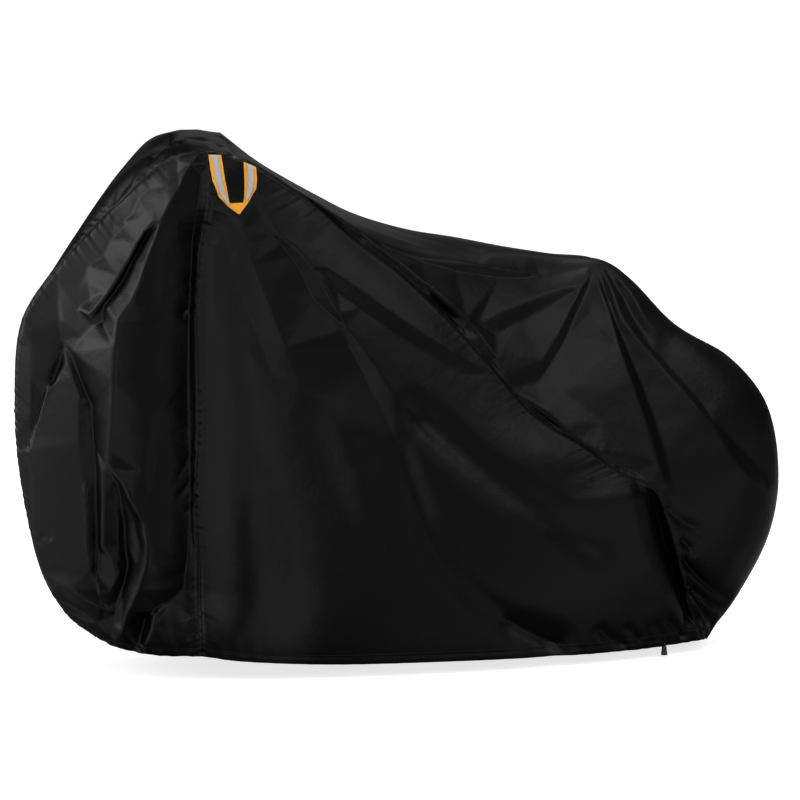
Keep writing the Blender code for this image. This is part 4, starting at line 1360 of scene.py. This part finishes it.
@dataclass(frozen=True)
class CoatedPolyester(Finish):
    """Black half-gloss cloth, a little greyer where it is stitched and rubbed.

    Attributes:
        threads: Threads for each metre.
        dents: Depth of the soft dents and crinkles.
        weave_depth: Depth of the weave.
        rubbed: Share of the lighter colour that wear adds at stitched edges.
        mottled: Share of it that changes over the cloth.
    """

    threads: float = 1300.0
    dents: float = 0.0022
    weave_depth: float = 0.00002
    rubbed: float = 0.35
    mottled: float = 0.6

    def build(self, groups: Groups) -> Material:
        """The material on its nodes."""
        material, wiring, shader = self.start()
        where = wiring.add("ShaderNodeTexCoord")
        flat = wiring.add("ShaderNodeUVMap", uv_map="cloth")
        crinkle = wiring.group(groups.crinkle, Place=where.outputs["Object"])
        edge = wiring.add("ShaderNodeAttribute", attribute_name="stitched_edge")
        rubbed = wiring.math("MULTIPLY", edge.outputs["Fac"], self.rubbed)
        share = wiring.math("MULTIPLY_ADD", crinkle["Tone"], self.mottled, rubbed)
        self.colour(wiring, shader, share)
        soft = self.relief(wiring, shader, crinkle["Height"], self.dents)
        weave = wiring.group(groups.weave, Threads=self.threads, Map=flat.outputs["UV"])
        self.relief(wiring, shader, weave["Height"], self.weave_depth, soft)
        return material


@dataclass(frozen=True)
class Webbing(Finish):
    """Ribbed webbing.

    Attributes:
        depth: Depth of its ribs.
        ribbed: Share of the ribs in the mix of the two colours.
    """

    depth: float = 0.0004
    ribbed: float = 0.6

    def build(self, groups: Groups) -> Material:
        """The material on its nodes."""
        material, wiring, shader = self.start()
        flat = wiring.add("ShaderNodeUVMap", uv_map="cloth")
        ribs = wiring.group(groups.ribs, Map=flat.outputs["UV"])
        tone = wiring.math("MULTIPLY", ribs["Tone"], 1 - self.ribbed)
        self.colour(wiring, shader, wiring.math("MULTIPLY_ADD", ribs["Height"], self.ribbed, tone))
        self.relief(wiring, shader, ribs["Height"], self.depth)
        return material


@dataclass(frozen=True)
class ReflectiveTape(Finish):
    """Grey tape with the fine grain of its glass beads.

    Attributes:
        threads: Threads for each metre of its backing.
        depth: Depth of the backing's weave.
    """

    threads: float = 2200.0
    depth: float = 0.00006

    def build(self, groups: Groups) -> Material:
        """The material on its nodes."""
        material, wiring, shader = self.start()
        flat = wiring.add("ShaderNodeUVMap", uv_map="cloth")
        weave = wiring.group(groups.weave, Threads=self.threads, Map=flat.outputs["UV"])
        self.colour(wiring, shader, wiring.noise(flat.outputs["UV"], BEADS))
        self.relief(wiring, shader, weave["Height"], self.depth)
        return material


@dataclass(frozen=True)
class Moulded(Finish):
    """Moulded plastic or braided elastic: a fine grain on Object coordinates.

    Attributes:
        grain: Grains for each metre.
        depth: Depth of the grain.
        grained: Share of the grain in the mix of the two colours.
    """

    grain: float = 900.0
    depth: float = 0.00008
    grained: float = 0.6

    def build(self, groups: Groups) -> Material:
        """The material on its nodes."""
        material, wiring, shader = self.start()
        where = wiring.add("ShaderNodeTexCoord")
        crinkle = wiring.group(groups.crinkle, Place=where.outputs["Object"])
        grain = wiring.noise(where.outputs["Object"], (self.grain, 2.0, 0.5))
        self.colour(wiring, shader, wiring.math("MULTIPLY_ADD", crinkle["Tone"], 1 - self.grained,
                                                wiring.math("MULTIPLY", grain, self.grained)))
        self.relief(wiring, shader, grain, self.depth)
        return material


@dataclass
class Palette:
    """All finishes of the cover."""

    groups: Groups = field(default_factory=Groups)

    def __post_init__(self) -> None:
        """Builds each material once."""
        self.cloth = CoatedPolyester("coated_polyester", (0.0007, 0.0007, 0.0008),
                                     (0.0020, 0.0020, 0.0022), (0.30, 0.39), 0.155,
                                     ).build(self.groups)
        self.webbing = Webbing("orange_webbing", (0.92, 0.34, 0.020), (1.00, 0.52, 0.070),
                               (0.62, 0.78), 0.30).build(self.groups)
        self.tape = ReflectiveTape("grey_reflective_tape", (0.36, 0.375, 0.40),
                                   (0.50, 0.51, 0.54), (0.30, 0.46)).build(self.groups)
        self.thread = Moulded("black_thread", (0.006, 0.006, 0.0065), (0.015, 0.015, 0.016),
                              (0.45, 0.60), 0.5, 1500.0, 0.00005).build(self.groups)
        self.loop_thread = Moulded("straw_thread", (0.42, 0.30, 0.10), (0.66, 0.50, 0.20),
                                   (0.45, 0.60), 0.5, 1500.0, 0.00005).build(self.groups)
        self.elastic = Moulded("black_elastic", (0.008, 0.008, 0.009), (0.022, 0.022, 0.024),
                               (0.60, 0.75), 0.3, 1100.0, 0.0002).build(self.groups)
        self.plastic = Moulded("black_plastic", (0.010, 0.010, 0.010), (0.018, 0.018, 0.018),
                               (0.34, 0.44), 0.5).build(self.groups)


def dress(piece: Object, material: Material, slot: Slot,
          *nodes: str) -> Object:
    """Gives a piece its material, its body and the CAD nodes that it stands for."""
    piece.data.materials.clear()
    piece.data.materials.append(material)
    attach(piece, BODY)
    if nodes:
        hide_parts(*nodes)
    LOG.info("%s: %d faces", piece.name, len(piece.data.polygons))
    return piece


# Sub-assemblies ---------------------------------------------------------------------------
@dataclass(frozen=True)
class Cut:
    """Flat size of one panel before it is sewn.

    Attributes:
        flat: Width and length of the cloth that it is cut from.
        area: Its own flat area in square metres.
    """

    flat: Place
    area: float


@dataclass
class Shell:
    """The six cloth panels with their seams and hem.

    Attributes:
        rows: Points along each long seam.
        style: Sizes of the seams and the hem.
        pressing: The folds.
        thread: The sewing thread.
        thickness: Thickness of the cloth.
        wear_reach: Distance from a seam over which the cloth is rubbed.
        hem_wear: How strongly the hem is rubbed, against 1 for the seams.
        counts: Points across each panel. The top has them near and far of the ridge, and the
            gusset's second number is its rows over the bar.
        creases: Crease lines of the panels that hang in flat facets.
        cuts: Flat size and area of the cloth that each panel is cut from; not used.
    """

    rows: int = 320
    style: SeamStyle = field(default_factory=SeamStyle)
    pressing: Pressing = field(default_factory=Pressing)
    thread: Thread = field(default_factory=Thread)
    thickness: float = 0.0008
    wear_reach: float = 0.007
    hem_wear: float = 0.7
    counts: dict[str, tuple[int, ...]] = field(default_factory=lambda: {
        "near_side_panel": (138,), "near_front_panel": (110,), "top_rear_panel": (100, 32),
        "front_gusset": (56, 14), "far_side_panel": (70,), "far_front_panel": (40,)})
    creases: dict[str, CreaseTable] = field(default_factory=lambda: {
        "near_side_panel": SIDE_CREASES,
        "near_front_panel": FRONT_CREASES,
        "top_rear_panel": REAR_CREASES,
    })
    cuts: dict[str, Cut] = field(default_factory=lambda: {
        "near_side_panel": Cut((1.25, 1.16), 0.870),
        "far_side_panel": Cut((1.25, 1.16), 0.860),
        "near_front_panel": Cut((0.49, 1.16), 0.445),
        "far_front_panel": Cut((0.43, 1.15), 0.375),
        "front_gusset": Cut((0.58, 1.42), 0.255),
        "top_rear_panel": Cut((1.00, 1.75), 1.230),
    })

    HEM_STITCH_ROW = 7
    STITCH_COLUMNS = (2, 4)

    def build(self, palette: Palette) -> dict[str, Array]:
        """Builds the panels and their stitching.

        Args:
            palette: The finishes.

        Returns:
            Points of each finished panel, measured from the floor.
        """
        drape = Drape(self.rows, self.style)
        makers = {
            "near_side_panel": drape.side, "near_front_panel": drape.near_front,
            "top_rear_panel": drape.roof, "front_gusset": drape.gusset,
            "far_side_panel": drape.far_side, "far_front_panel": drape.far_front,
        }
        surfaces = {}
        seam_rows: dict[str, list[Array]] = {"near": [], "far": [], "hem": []}
        for name, make in makers.items():
            grid = make(*self.counts[name])
            surface = finished(grid, self.style, self.pressing, self.creases.get(name))
            surfaces[name] = surface
            self.panel(name, grid, surface, palette)
            self.sew(name, grid, surface, seam_rows)
        for side, splines in seam_rows.items():
            piece = curve_mesh(f"stitches_{side}", splines, self.thread.radius)
            dress(piece, palette.thread, Slot.CLOTH)
        return surfaces

    def panel(self, name: str, grid: PanelGrid, surface: Array, palette: Palette) -> None:
        """Makes one panel."""
        closest = np.minimum(grid.away(0), grid.away(-1))
        wear = np.maximum(np.exp(-closest / self.wear_reach),
                          self.hem_wear * np.exp(-grid.up() / self.wear_reach))
        piece = sheet_object(f"{name}_cloth", in_frame(surface), flat_map_of(grid.points), wear,
                             self.thickness)
        dress(piece, palette.cloth, Slot.CLOTH, name)

    def sew(self, name: str, grid: PanelGrid, surface: Array,
            seam_rows: dict[str, list[Array]]) -> None:
        """Adds the stitches along one panel's laps and hem."""
        side = "far" if name.startswith("far") else "near"
        out = self.pressing.outwards(surface.reshape(-1, 3)).reshape(surface.shape)
        placed = in_frame(surface)
        for kind, columns in ((grid.left, self.STITCH_COLUMNS),
                              (grid.right, tuple(-1 - c for c in self.STITCH_COLUMNS))):
            if kind is EdgeKind.LAPPED:
                for column in columns:
                    seam_rows[side] += self.thread.stitches(placed[:, column], out[:, column],
                                                            self.thickness)
        row = self.HEM_STITCH_ROW
        seam_rows["hem"] += self.thread.stitches(placed[row], out[row], self.thickness)


# x and z of the webbing's outer edge and of its inner edge, and how far each stands off the cloth.
LOOP = {
    "front leg sewn": (-0.0805, 1.1490, -0.0540, 1.1485, 0.0000, 0.0000),
    "front leg upper": (-0.0765, 1.1180, -0.0495, 1.1180, 0.0015, 0.0012),
    "front leg": (-0.0725, 1.0960, -0.0465, 1.0980, 0.0030, 0.0020),
    "front leg lower": (-0.0600, 1.0600, -0.0410, 1.0700, 0.0050, 0.0020),
    "front turn": (-0.0385, 1.0385, -0.0385, 1.0540, 0.0065, 0.0015),
    "front crease": (-0.0180, 1.0235, -0.0375, 1.0460, 0.0070, 0.0010),
    "rear crease": (-0.0145, 1.0235, -0.0045, 1.0470, 0.0070, 0.0010),
    "rear turn": (0.0060, 1.0500, -0.0042, 1.0570, 0.0065, 0.0015),
    "rear leg lower": (0.0210, 1.0760, -0.0035, 1.0750, 0.0040, 0.0020),
    "rear leg": (0.0232, 1.0950, -0.0038, 1.0980, 0.0020, 0.0012),
    "rear leg sewn": (0.0218, 1.1215, -0.0054, 1.1335, 0.0000, 0.0000),
}


class Wall:
    """Finds how far out the near panels stand at an x and a z, measured from the floor."""

    OUTSIDE = -1.0

    def __init__(self, surfaces: list[Array]) -> None:
        """Builds one search tree over several grids of points."""
        points: list[list[float]] = []
        quads: list[list[int]] = []
        for grid in surfaces:
            rows, columns = grid.shape[:2]
            corner = np.arange(rows * columns).reshape(rows, columns) + len(points)
            loops = np.stack([corner[:-1, :-1], corner[:-1, 1:], corner[1:, 1:], corner[1:, :-1]],
                             axis=-1)
            points += grid.reshape(-1, 3).tolist()
            quads += loops.reshape(-1, 4).tolist()
        self.tree = BVHTree.FromPolygons(points, quads)

    def y(self, x: float, z: float) -> float:
        """Where a line from the near side at this x and z meets a panel."""
        return self.tree.ray_cast((x, self.OUTSIDE, z), (0.0, 1.0, 0.0))[0].y


@dataclass
class HangingLoop:
    """Webbing loop with a strip of reflective tape sewn on each leg.

    Attributes:
        rest: How far the webbing's inner face lies off the cloth where it is sewn.
        webbing: Thickness of the webbing.
        tape: Thickness of the tape.
        tape_gap: Space between the webbing and the tape.
        tape_edges: Where the tape starts and stops across the webbing.
        tape_rows: First and last row of the loop's table under each tape.
        rounding: Width of the rounded edges of the webbing and of the tape.
        columns: Points across the strap.
        rows: Faces between two rows of the table.
    """

    rest: float = 0.0013
    webbing: float = 0.0012
    tape: float = 0.0006
    tape_gap: float = 0.0003
    tape_edges: Place = (0.25, 0.74)
    tape_rows: dict[str, tuple[int, int]] = field(default_factory=lambda: {
        "loop_tape_front": (0, 4), "loop_tape_rear": (7, 10)})
    rounding: Place = (0.0004, 0.00015)
    columns: int = 13
    rows: int = 6
    thread: Thread = field(default_factory=lambda: Thread(0.0040, 0.0029, 0.00030, 0.0003))

    STITCH_COLUMNS = (1, -2)
    OUTWARDS = (0.0, -1.0, 0.0)

    def strap(self, wall: Wall, edges: Place, rows: tuple[int, int], lift: float) -> Array:
        """Grid of a flat strap along the loop's table.

        Args:
            wall: The cloth that it lies on.
            edges: Shares of the webbing's width between which it lies.
            rows: First and last row of the table.
            lift: How far it lies above the webbing's inner face.

        Returns:
            Points in rows and columns, measured from the floor.
        """
        table = np.array(list(LOOP.values()))[rows[0]:rows[1] + 1]
        path = []
        for a, b in zip(table, table[1:]):
            path += [a + (b - a) * step / self.rows for step in range(self.rows)]
        path.append(table[-1])
        grid = []
        for stop in path:
            outer, inner = stop[[0, 1, 4]], stop[[2, 3, 5]]
            row = [outer + (inner - outer) * share for share in np.linspace(*edges, self.columns)]
            grid.append([(x, wall.y(x, z) - self.rest - off - lift, z) for x, z, off in row[::-1]])
        return np.array(grid)

    def build(self, wall: Wall, palette: Palette) -> None:
        """Builds the webbing, the tapes and their stitches on the finished cloth."""
        whole = (0, len(LOOP) - 1)
        grid = self.strap(wall, (0.0, 1.0), whole, 0.0)
        web = sheet_object("hanging_loop_webbing", in_frame(grid), flat_map_of(grid),
                           thickness=self.webbing)
        self.soften(web, self.rounding[0])
        dress(web, palette.webbing, Slot.WEBBING, "hanging_loop")
        threads = []
        lift = self.webbing + self.tape_gap
        for name, rows in self.tape_rows.items():
            grid = self.strap(wall, self.tape_edges, rows, lift)
            strip = sheet_object(f"{name}_strip", in_frame(grid), flat_map_of(grid),
                                 thickness=self.tape)
            self.soften(strip, self.rounding[1])
            dress(strip, palette.tape, Slot.TAPE, name)
            for column in self.STITCH_COLUMNS:
                line = in_frame(grid[:, column])
                out = np.broadcast_to(self.OUTWARDS, line.shape)
                threads += self.thread.stitches(line, out, self.tape)
        dress(curve_mesh("stitches_loop", threads, self.thread.radius), palette.loop_thread,
              Slot.WEBBING)

    def soften(self, piece: Object, width: float) -> None:
        """Rounds the cut edges of a strap."""
        bevel = piece.modifiers.new("rounded edge", "BEVEL")
        bevel.width = width
        bevel.segments = 2
        bevel.limit_method = "ANGLE"


@dataclass
class HemCord:
    """Short end of the elastic cord below the rear hem, with its bell-shaped end.

    Attributes:
        diameter: Diameter of the cord.
        length: Length of cord between the hem and the bell.
        tucked: Length of cord that goes up inside the hem.
        gap: Space between neighbouring pieces.
        bell: Depth below its top and radius at each named level.
        steps: Steps of the full turn.
    """

    diameter: float = 0.0060
    length: float = 0.0010
    tucked: float = 0.0070
    gap: float = 0.0003
    bell: dict[str, Place] = field(default_factory=lambda: {
        "top": (0.0000, 0.0046), "crown": (0.0008, 0.0055), "neck": (0.0030, 0.0056),
        "waist": (0.0062, 0.0057), "shoulder": (0.0100, 0.0062), "skirt": (0.0160, 0.0072),
        "lip": (0.0180, 0.0076), "rim": (0.0190, 0.0074), "foot": (0.0195, 0.0067)})
    steps: int = 32

    RINGS = 10
    WAIST = 0.9  # radius between the braid's rings, as a share of the cord's
    MERGED = 0.00001  # distance within which two points become one

    def turned(self, name: str, outline: list[Place], top: Vector) -> Object:
        """Turns an outline of depths and radii round the upright line under a point."""
        bm = bmesh.new()
        line = [bm.verts.new((radius, 0.0, -depth)) for depth, radius in outline]
        edges = [bm.edges.new(pair) for pair in zip(line, line[1:])]
        bmesh.ops.spin(bm, geom=line + edges, cent=(0, 0, 0), axis=(0, 0, 1),
                       angle=2 * np.pi, steps=self.steps, use_merge=True, use_duplicate=False)
        bmesh.ops.remove_doubles(bm, verts=bm.verts, dist=self.MERGED)
        bmesh.ops.recalc_face_normals(bm, faces=bm.faces)
        bmesh.ops.translate(bm, verts=bm.verts, vec=top)
        mesh = mesh_from(bm, name)
        smooth(mesh)
        return linked(name, mesh)

    def build(self, palette: Palette) -> None:
        """Builds the cord and the bell where the CAD nodes stand."""
        low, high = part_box("hem_cord")
        top = Vector(((low[0] + high[0]) / 2, (low[1] + high[1]) / 2, high[2]))
        radius = self.diameter / 2
        slim = radius * self.WAIST
        braid = [(-self.tucked, 0.0), (-self.tucked, slim)]
        for ring in range(1, self.RINGS):
            braid.append((self.length * ring / self.RINGS, radius if ring % 2 else slim))
        braid += [(self.length, slim), (self.length, 0.0)]
        cord = self.turned("hem_cord_braid", braid, top)
        dress(cord, palette.elastic, Slot.ELASTIC, "hem_cord")
        outline = [(0.0, 0.0)] + list(self.bell.values())
        outline.append((self.bell["foot"][0], 0.0))
        bell = self.turned("hem_cord_bell", outline,
                           top - Vector((0.0, 0.0, self.length + self.gap)))
        dress(bell, palette.plastic, Slot.PLASTIC, "hem_cord_end")


# Studio -----------------------------------------------------------------------------------
@dataclass(frozen=True)
class SoftLight:
    """One soft box.

    Attributes:
        name: Its name.
        turn: Degrees round from straight in front, below 0 to the left.
        height: Degrees above the floor.
        distance: Distance from what it is aimed at.
        size: Width and height.
        radiance: Brightness of its face.
    """

    name: str
    turn: float
    height: float
    distance: float
    size: Place
    radiance: float


@dataclass
class Studio:
    """Pale floor, soft lights and the camera of the photograph.

    Attributes:
        target: Where the camera looks, in the frame of the model.
        view: Unit direction from the target to the camera.
        distance: Distance of the camera.
        lens: Focal length and width of the frame, in mm.
        sight: How far the camera sees.
        backdrop: Brightness of the backdrop that only the camera sees.
        floor_size: Half the width of the floor.
        floor_glow: Light of the floor that only the camera sees.
        floor_paint: Brightness of its paint for the cloth, and what the camera sees on top.
        floor_centre: Place on the floor round which its light for the cloth turns.
        floor_light: Stops of that light, from the left (-1) to the right (1).
        shades: Middle and reach of each place on the floor that lights the cloth least, before
            the front wheel and under the cover.
        shade: Share of the floor's light there, from its middle (-1) to its edge (0) and out.
        sky_light: Stops of the light of the surroundings for the cloth, the same way.
        back_share: Share of both lights that is left, from the front (-1) to the back (1).
        boxes: The soft boxes.
    """

    target: tuple[float, float, float] = (0.40, 0.0, -0.600)
    view: tuple[float, float, float] = (-0.2235, -0.9681, 0.1132)
    distance: float = 7.0
    lens: Place = (140.0, 36.0)
    sight: float = 100.0
    backdrop: float = 1.05
    floor_size: float = 30.0
    floor_glow: float = 0.75
    floor_paint: Place = (0.1, 0.7)
    floor_centre: Place = (0.10, -0.20)
    floor_light: tuple[Place, ...] = ((-1.0, 0.90), (-0.8, 0.70), (-0.4, 0.95), (-0.1, 1.55),
                                      (0.04, 1.40), (0.15, 0.20), (0.45, 0.16), (0.94, 0.50),
                                      (1.0, 0.12))
    shades: tuple[tuple[Place, Place], ...] = (((-0.24, -0.85), (0.24, 0.75)),
                                               ((0.42, -0.02), (1.02, 0.38)))
    shade: tuple[Place, ...] = ((-1.0, 0.06), (-0.30, 0.10), (0.30, 1.0), (1.0, 1.0))
    sky_light: tuple[Place, ...] = ((-1.0, 1.55), (-0.75, 1.15), (-0.55, 0.80), (-0.38, 0.18),
                                    (-0.08, 0.18), (0.12, 0.90), (0.42, 1.00), (0.65, 0.36),
                                    (0.85, 0.14), (1.0, 0.04))
    back_share: tuple[Place, ...] = ((-1.0, 1.0), (-0.65, 1.0), (-0.35, 1.35), (-0.1, 1.20),
                                     (0.13, 0.90), (0.45, 0.72), (0.58, 0.35), (0.70, 0.07),
                                     (0.82, 0.09), (0.93, 0.20), (1.0, 0.20))
    boxes: tuple[SoftLight, ...] = (
        SoftLight("left_soft_box", -110.0, 13.0, 4.2, (2.6, 1.9), 2.1),
        SoftLight("top_soft_box", 10.0, 80.0, 4.0, (2.8, 2.0), 6.3),
        SoftLight("right_soft_box", 42.0, 27.0, 4.6, (3.0, 1.5), 1.8),
    )

    def build(self) -> None:
        """Builds the whole studio."""
        self.add_floor()
        for box in self.boxes:
            self.add_box(box)
        self.add_camera()
        self.add_surround()
        bpy.context.scene.view_settings.view_transform = "Standard"

    def add_floor(self) -> None:
        """Lays the floor under the hem."""
        bm = bmesh.new()
        bmesh.ops.create_grid(bm, x_segments=4, y_segments=4, size=self.floor_size)
        bmesh.ops.translate(bm, verts=bm.verts, vec=(self.target[0], 0.0, -BAR_REST[2]))
        mesh = mesh_from(bm, "studio_floor")
        floor = linked("studio_floor", mesh)
        material = bpy.data.materials.new("white_floor")
        material.use_nodes = True
        wiring = Wiring(material.node_tree)
        shader = material.node_tree.nodes["Principled BSDF"]
        seen = wiring.add("ShaderNodeLightPath").outputs["Is Camera Ray"]
        tone = self.floor_tone(wiring)
        other = wiring.math("MULTIPLY", tone, wiring.math("SUBTRACT", 1.0, seen))
        glow = wiring.math("MULTIPLY_ADD", seen, self.floor_glow, other)
        plain, more = self.floor_paint
        pale = wiring.math("MULTIPLY_ADD", seen, more, plain)
        for name, value in (("Roughness", 0.9), ("Specular IOR Level", 0.1), ("Base Color", pale),
                            ("Emission Color", (1.0, 1.0, 1.0, 1.0)), ("Emission Strength", glow)):
            wiring.feed(value, shader.inputs[name])
        mesh.materials.append(material)

    def floor_tone(self, wiring: Wiring) -> Socket:
        """Light of the floor for the cloth, by direction from its centre and beside the shades."""
        parts = wiring.split(wiring.add("ShaderNodeNewGeometry").outputs["Position"])

        def steps(centre: Place) -> list[Socket]:
            """How far each point of the floor lies to the right of a place and behind it."""
            return [wiring.math("SUBTRACT", parts[axis], at) for axis, at in zip("XY", centre)]

        right, back = steps(self.floor_centre)
        distance = wiring.length(right, back)
        tone = wiring.math("MULTIPLY",
                           wiring.ramp(wiring.math("DIVIDE", right, distance), self.floor_light),
                           wiring.ramp(wiring.math("DIVIDE", back, distance), self.back_share))
        for middle, reach in self.shades:
            off = wiring.length(*(wiring.math("DIVIDE", step, length)
                                  for step, length in zip(steps(middle), reach)))
            share = wiring.ramp(wiring.math("SUBTRACT", off, 1.0), self.shade)
            tone = wiring.math("MULTIPLY", tone, share)
        return tone

    def add_box(self, box: SoftLight) -> None:
        """Hangs one soft box and aims it at the cover."""
        turn = np.radians(box.turn)
        height = np.radians(box.height)
        off = Vector((np.sin(turn) * np.cos(height), -np.cos(turn) * np.cos(height),
                      np.sin(height)))
        light = bpy.data.lights.new(box.name, "AREA")
        light.shape = "RECTANGLE"
        light.size, light.size_y = box.size
        light.energy = box.radiance * np.pi * box.size[0] * box.size[1]
        self.aim(linked(box.name, light), off, box.distance)

    def aim(self, holder: Object, off: Vector, distance: float) -> None:
        """Puts a light or a camera at a distance off the target and turns it there."""
        holder.location = Vector(self.target) + off * distance
        holder.rotation_euler = off.to_track_quat("Z", "Y").to_euler()

    def add_camera(self) -> None:
        """Sets the camera up as the photograph was taken."""
        camera = bpy.data.cameras.new("photo_camera")
        camera.lens, camera.sensor_width = self.lens
        camera.clip_end = self.sight
        holder = linked("photo_camera", camera)
        self.aim(holder, Vector(self.view), self.distance)
        bpy.context.scene.camera = holder

    def add_surround(self) -> None:
        """White backdrop for the camera, dimmer surroundings for the cloth."""
        world = bpy.data.worlds.new("studio")
        world.use_nodes = True
        bpy.context.scene.world = world
        wiring = Wiring(world.node_tree)
        backdrop = world.node_tree.nodes["Background"]
        backdrop.inputs["Color"].default_value = (1.0, 1.0, 1.0, 1.0)
        parts = wiring.split(wiring.add("ShaderNodeTexCoord").outputs["Generated"])
        dim = wiring.math("MULTIPLY", wiring.ramp(parts["X"], self.sky_light),
                          wiring.ramp(parts["Y"], self.back_share))
        seen = wiring.add("ShaderNodeLightPath").outputs["Is Camera Ray"]
        gain = wiring.math("MULTIPLY_ADD", dim, -1.0, self.backdrop)
        wiring.join(wiring.math("MULTIPLY_ADD", seen, gain, dim), backdrop.inputs["Strength"])


def main() -> None:
    """Builds every sub-assembly in order."""
    logging.basicConfig(level=logging.INFO, format="%(name)s: %(message)s")
    Studio().build()
    palette = Palette()
    surfaces = Shell().build(palette)
    wall = Wall([surfaces[name] for name in ("near_side_panel", "near_front_panel",
                                             "top_rear_panel")])
    HangingLoop().build(wall, palette)
    HemCord().build(palette)


if __name__ == "__main__":
    main()
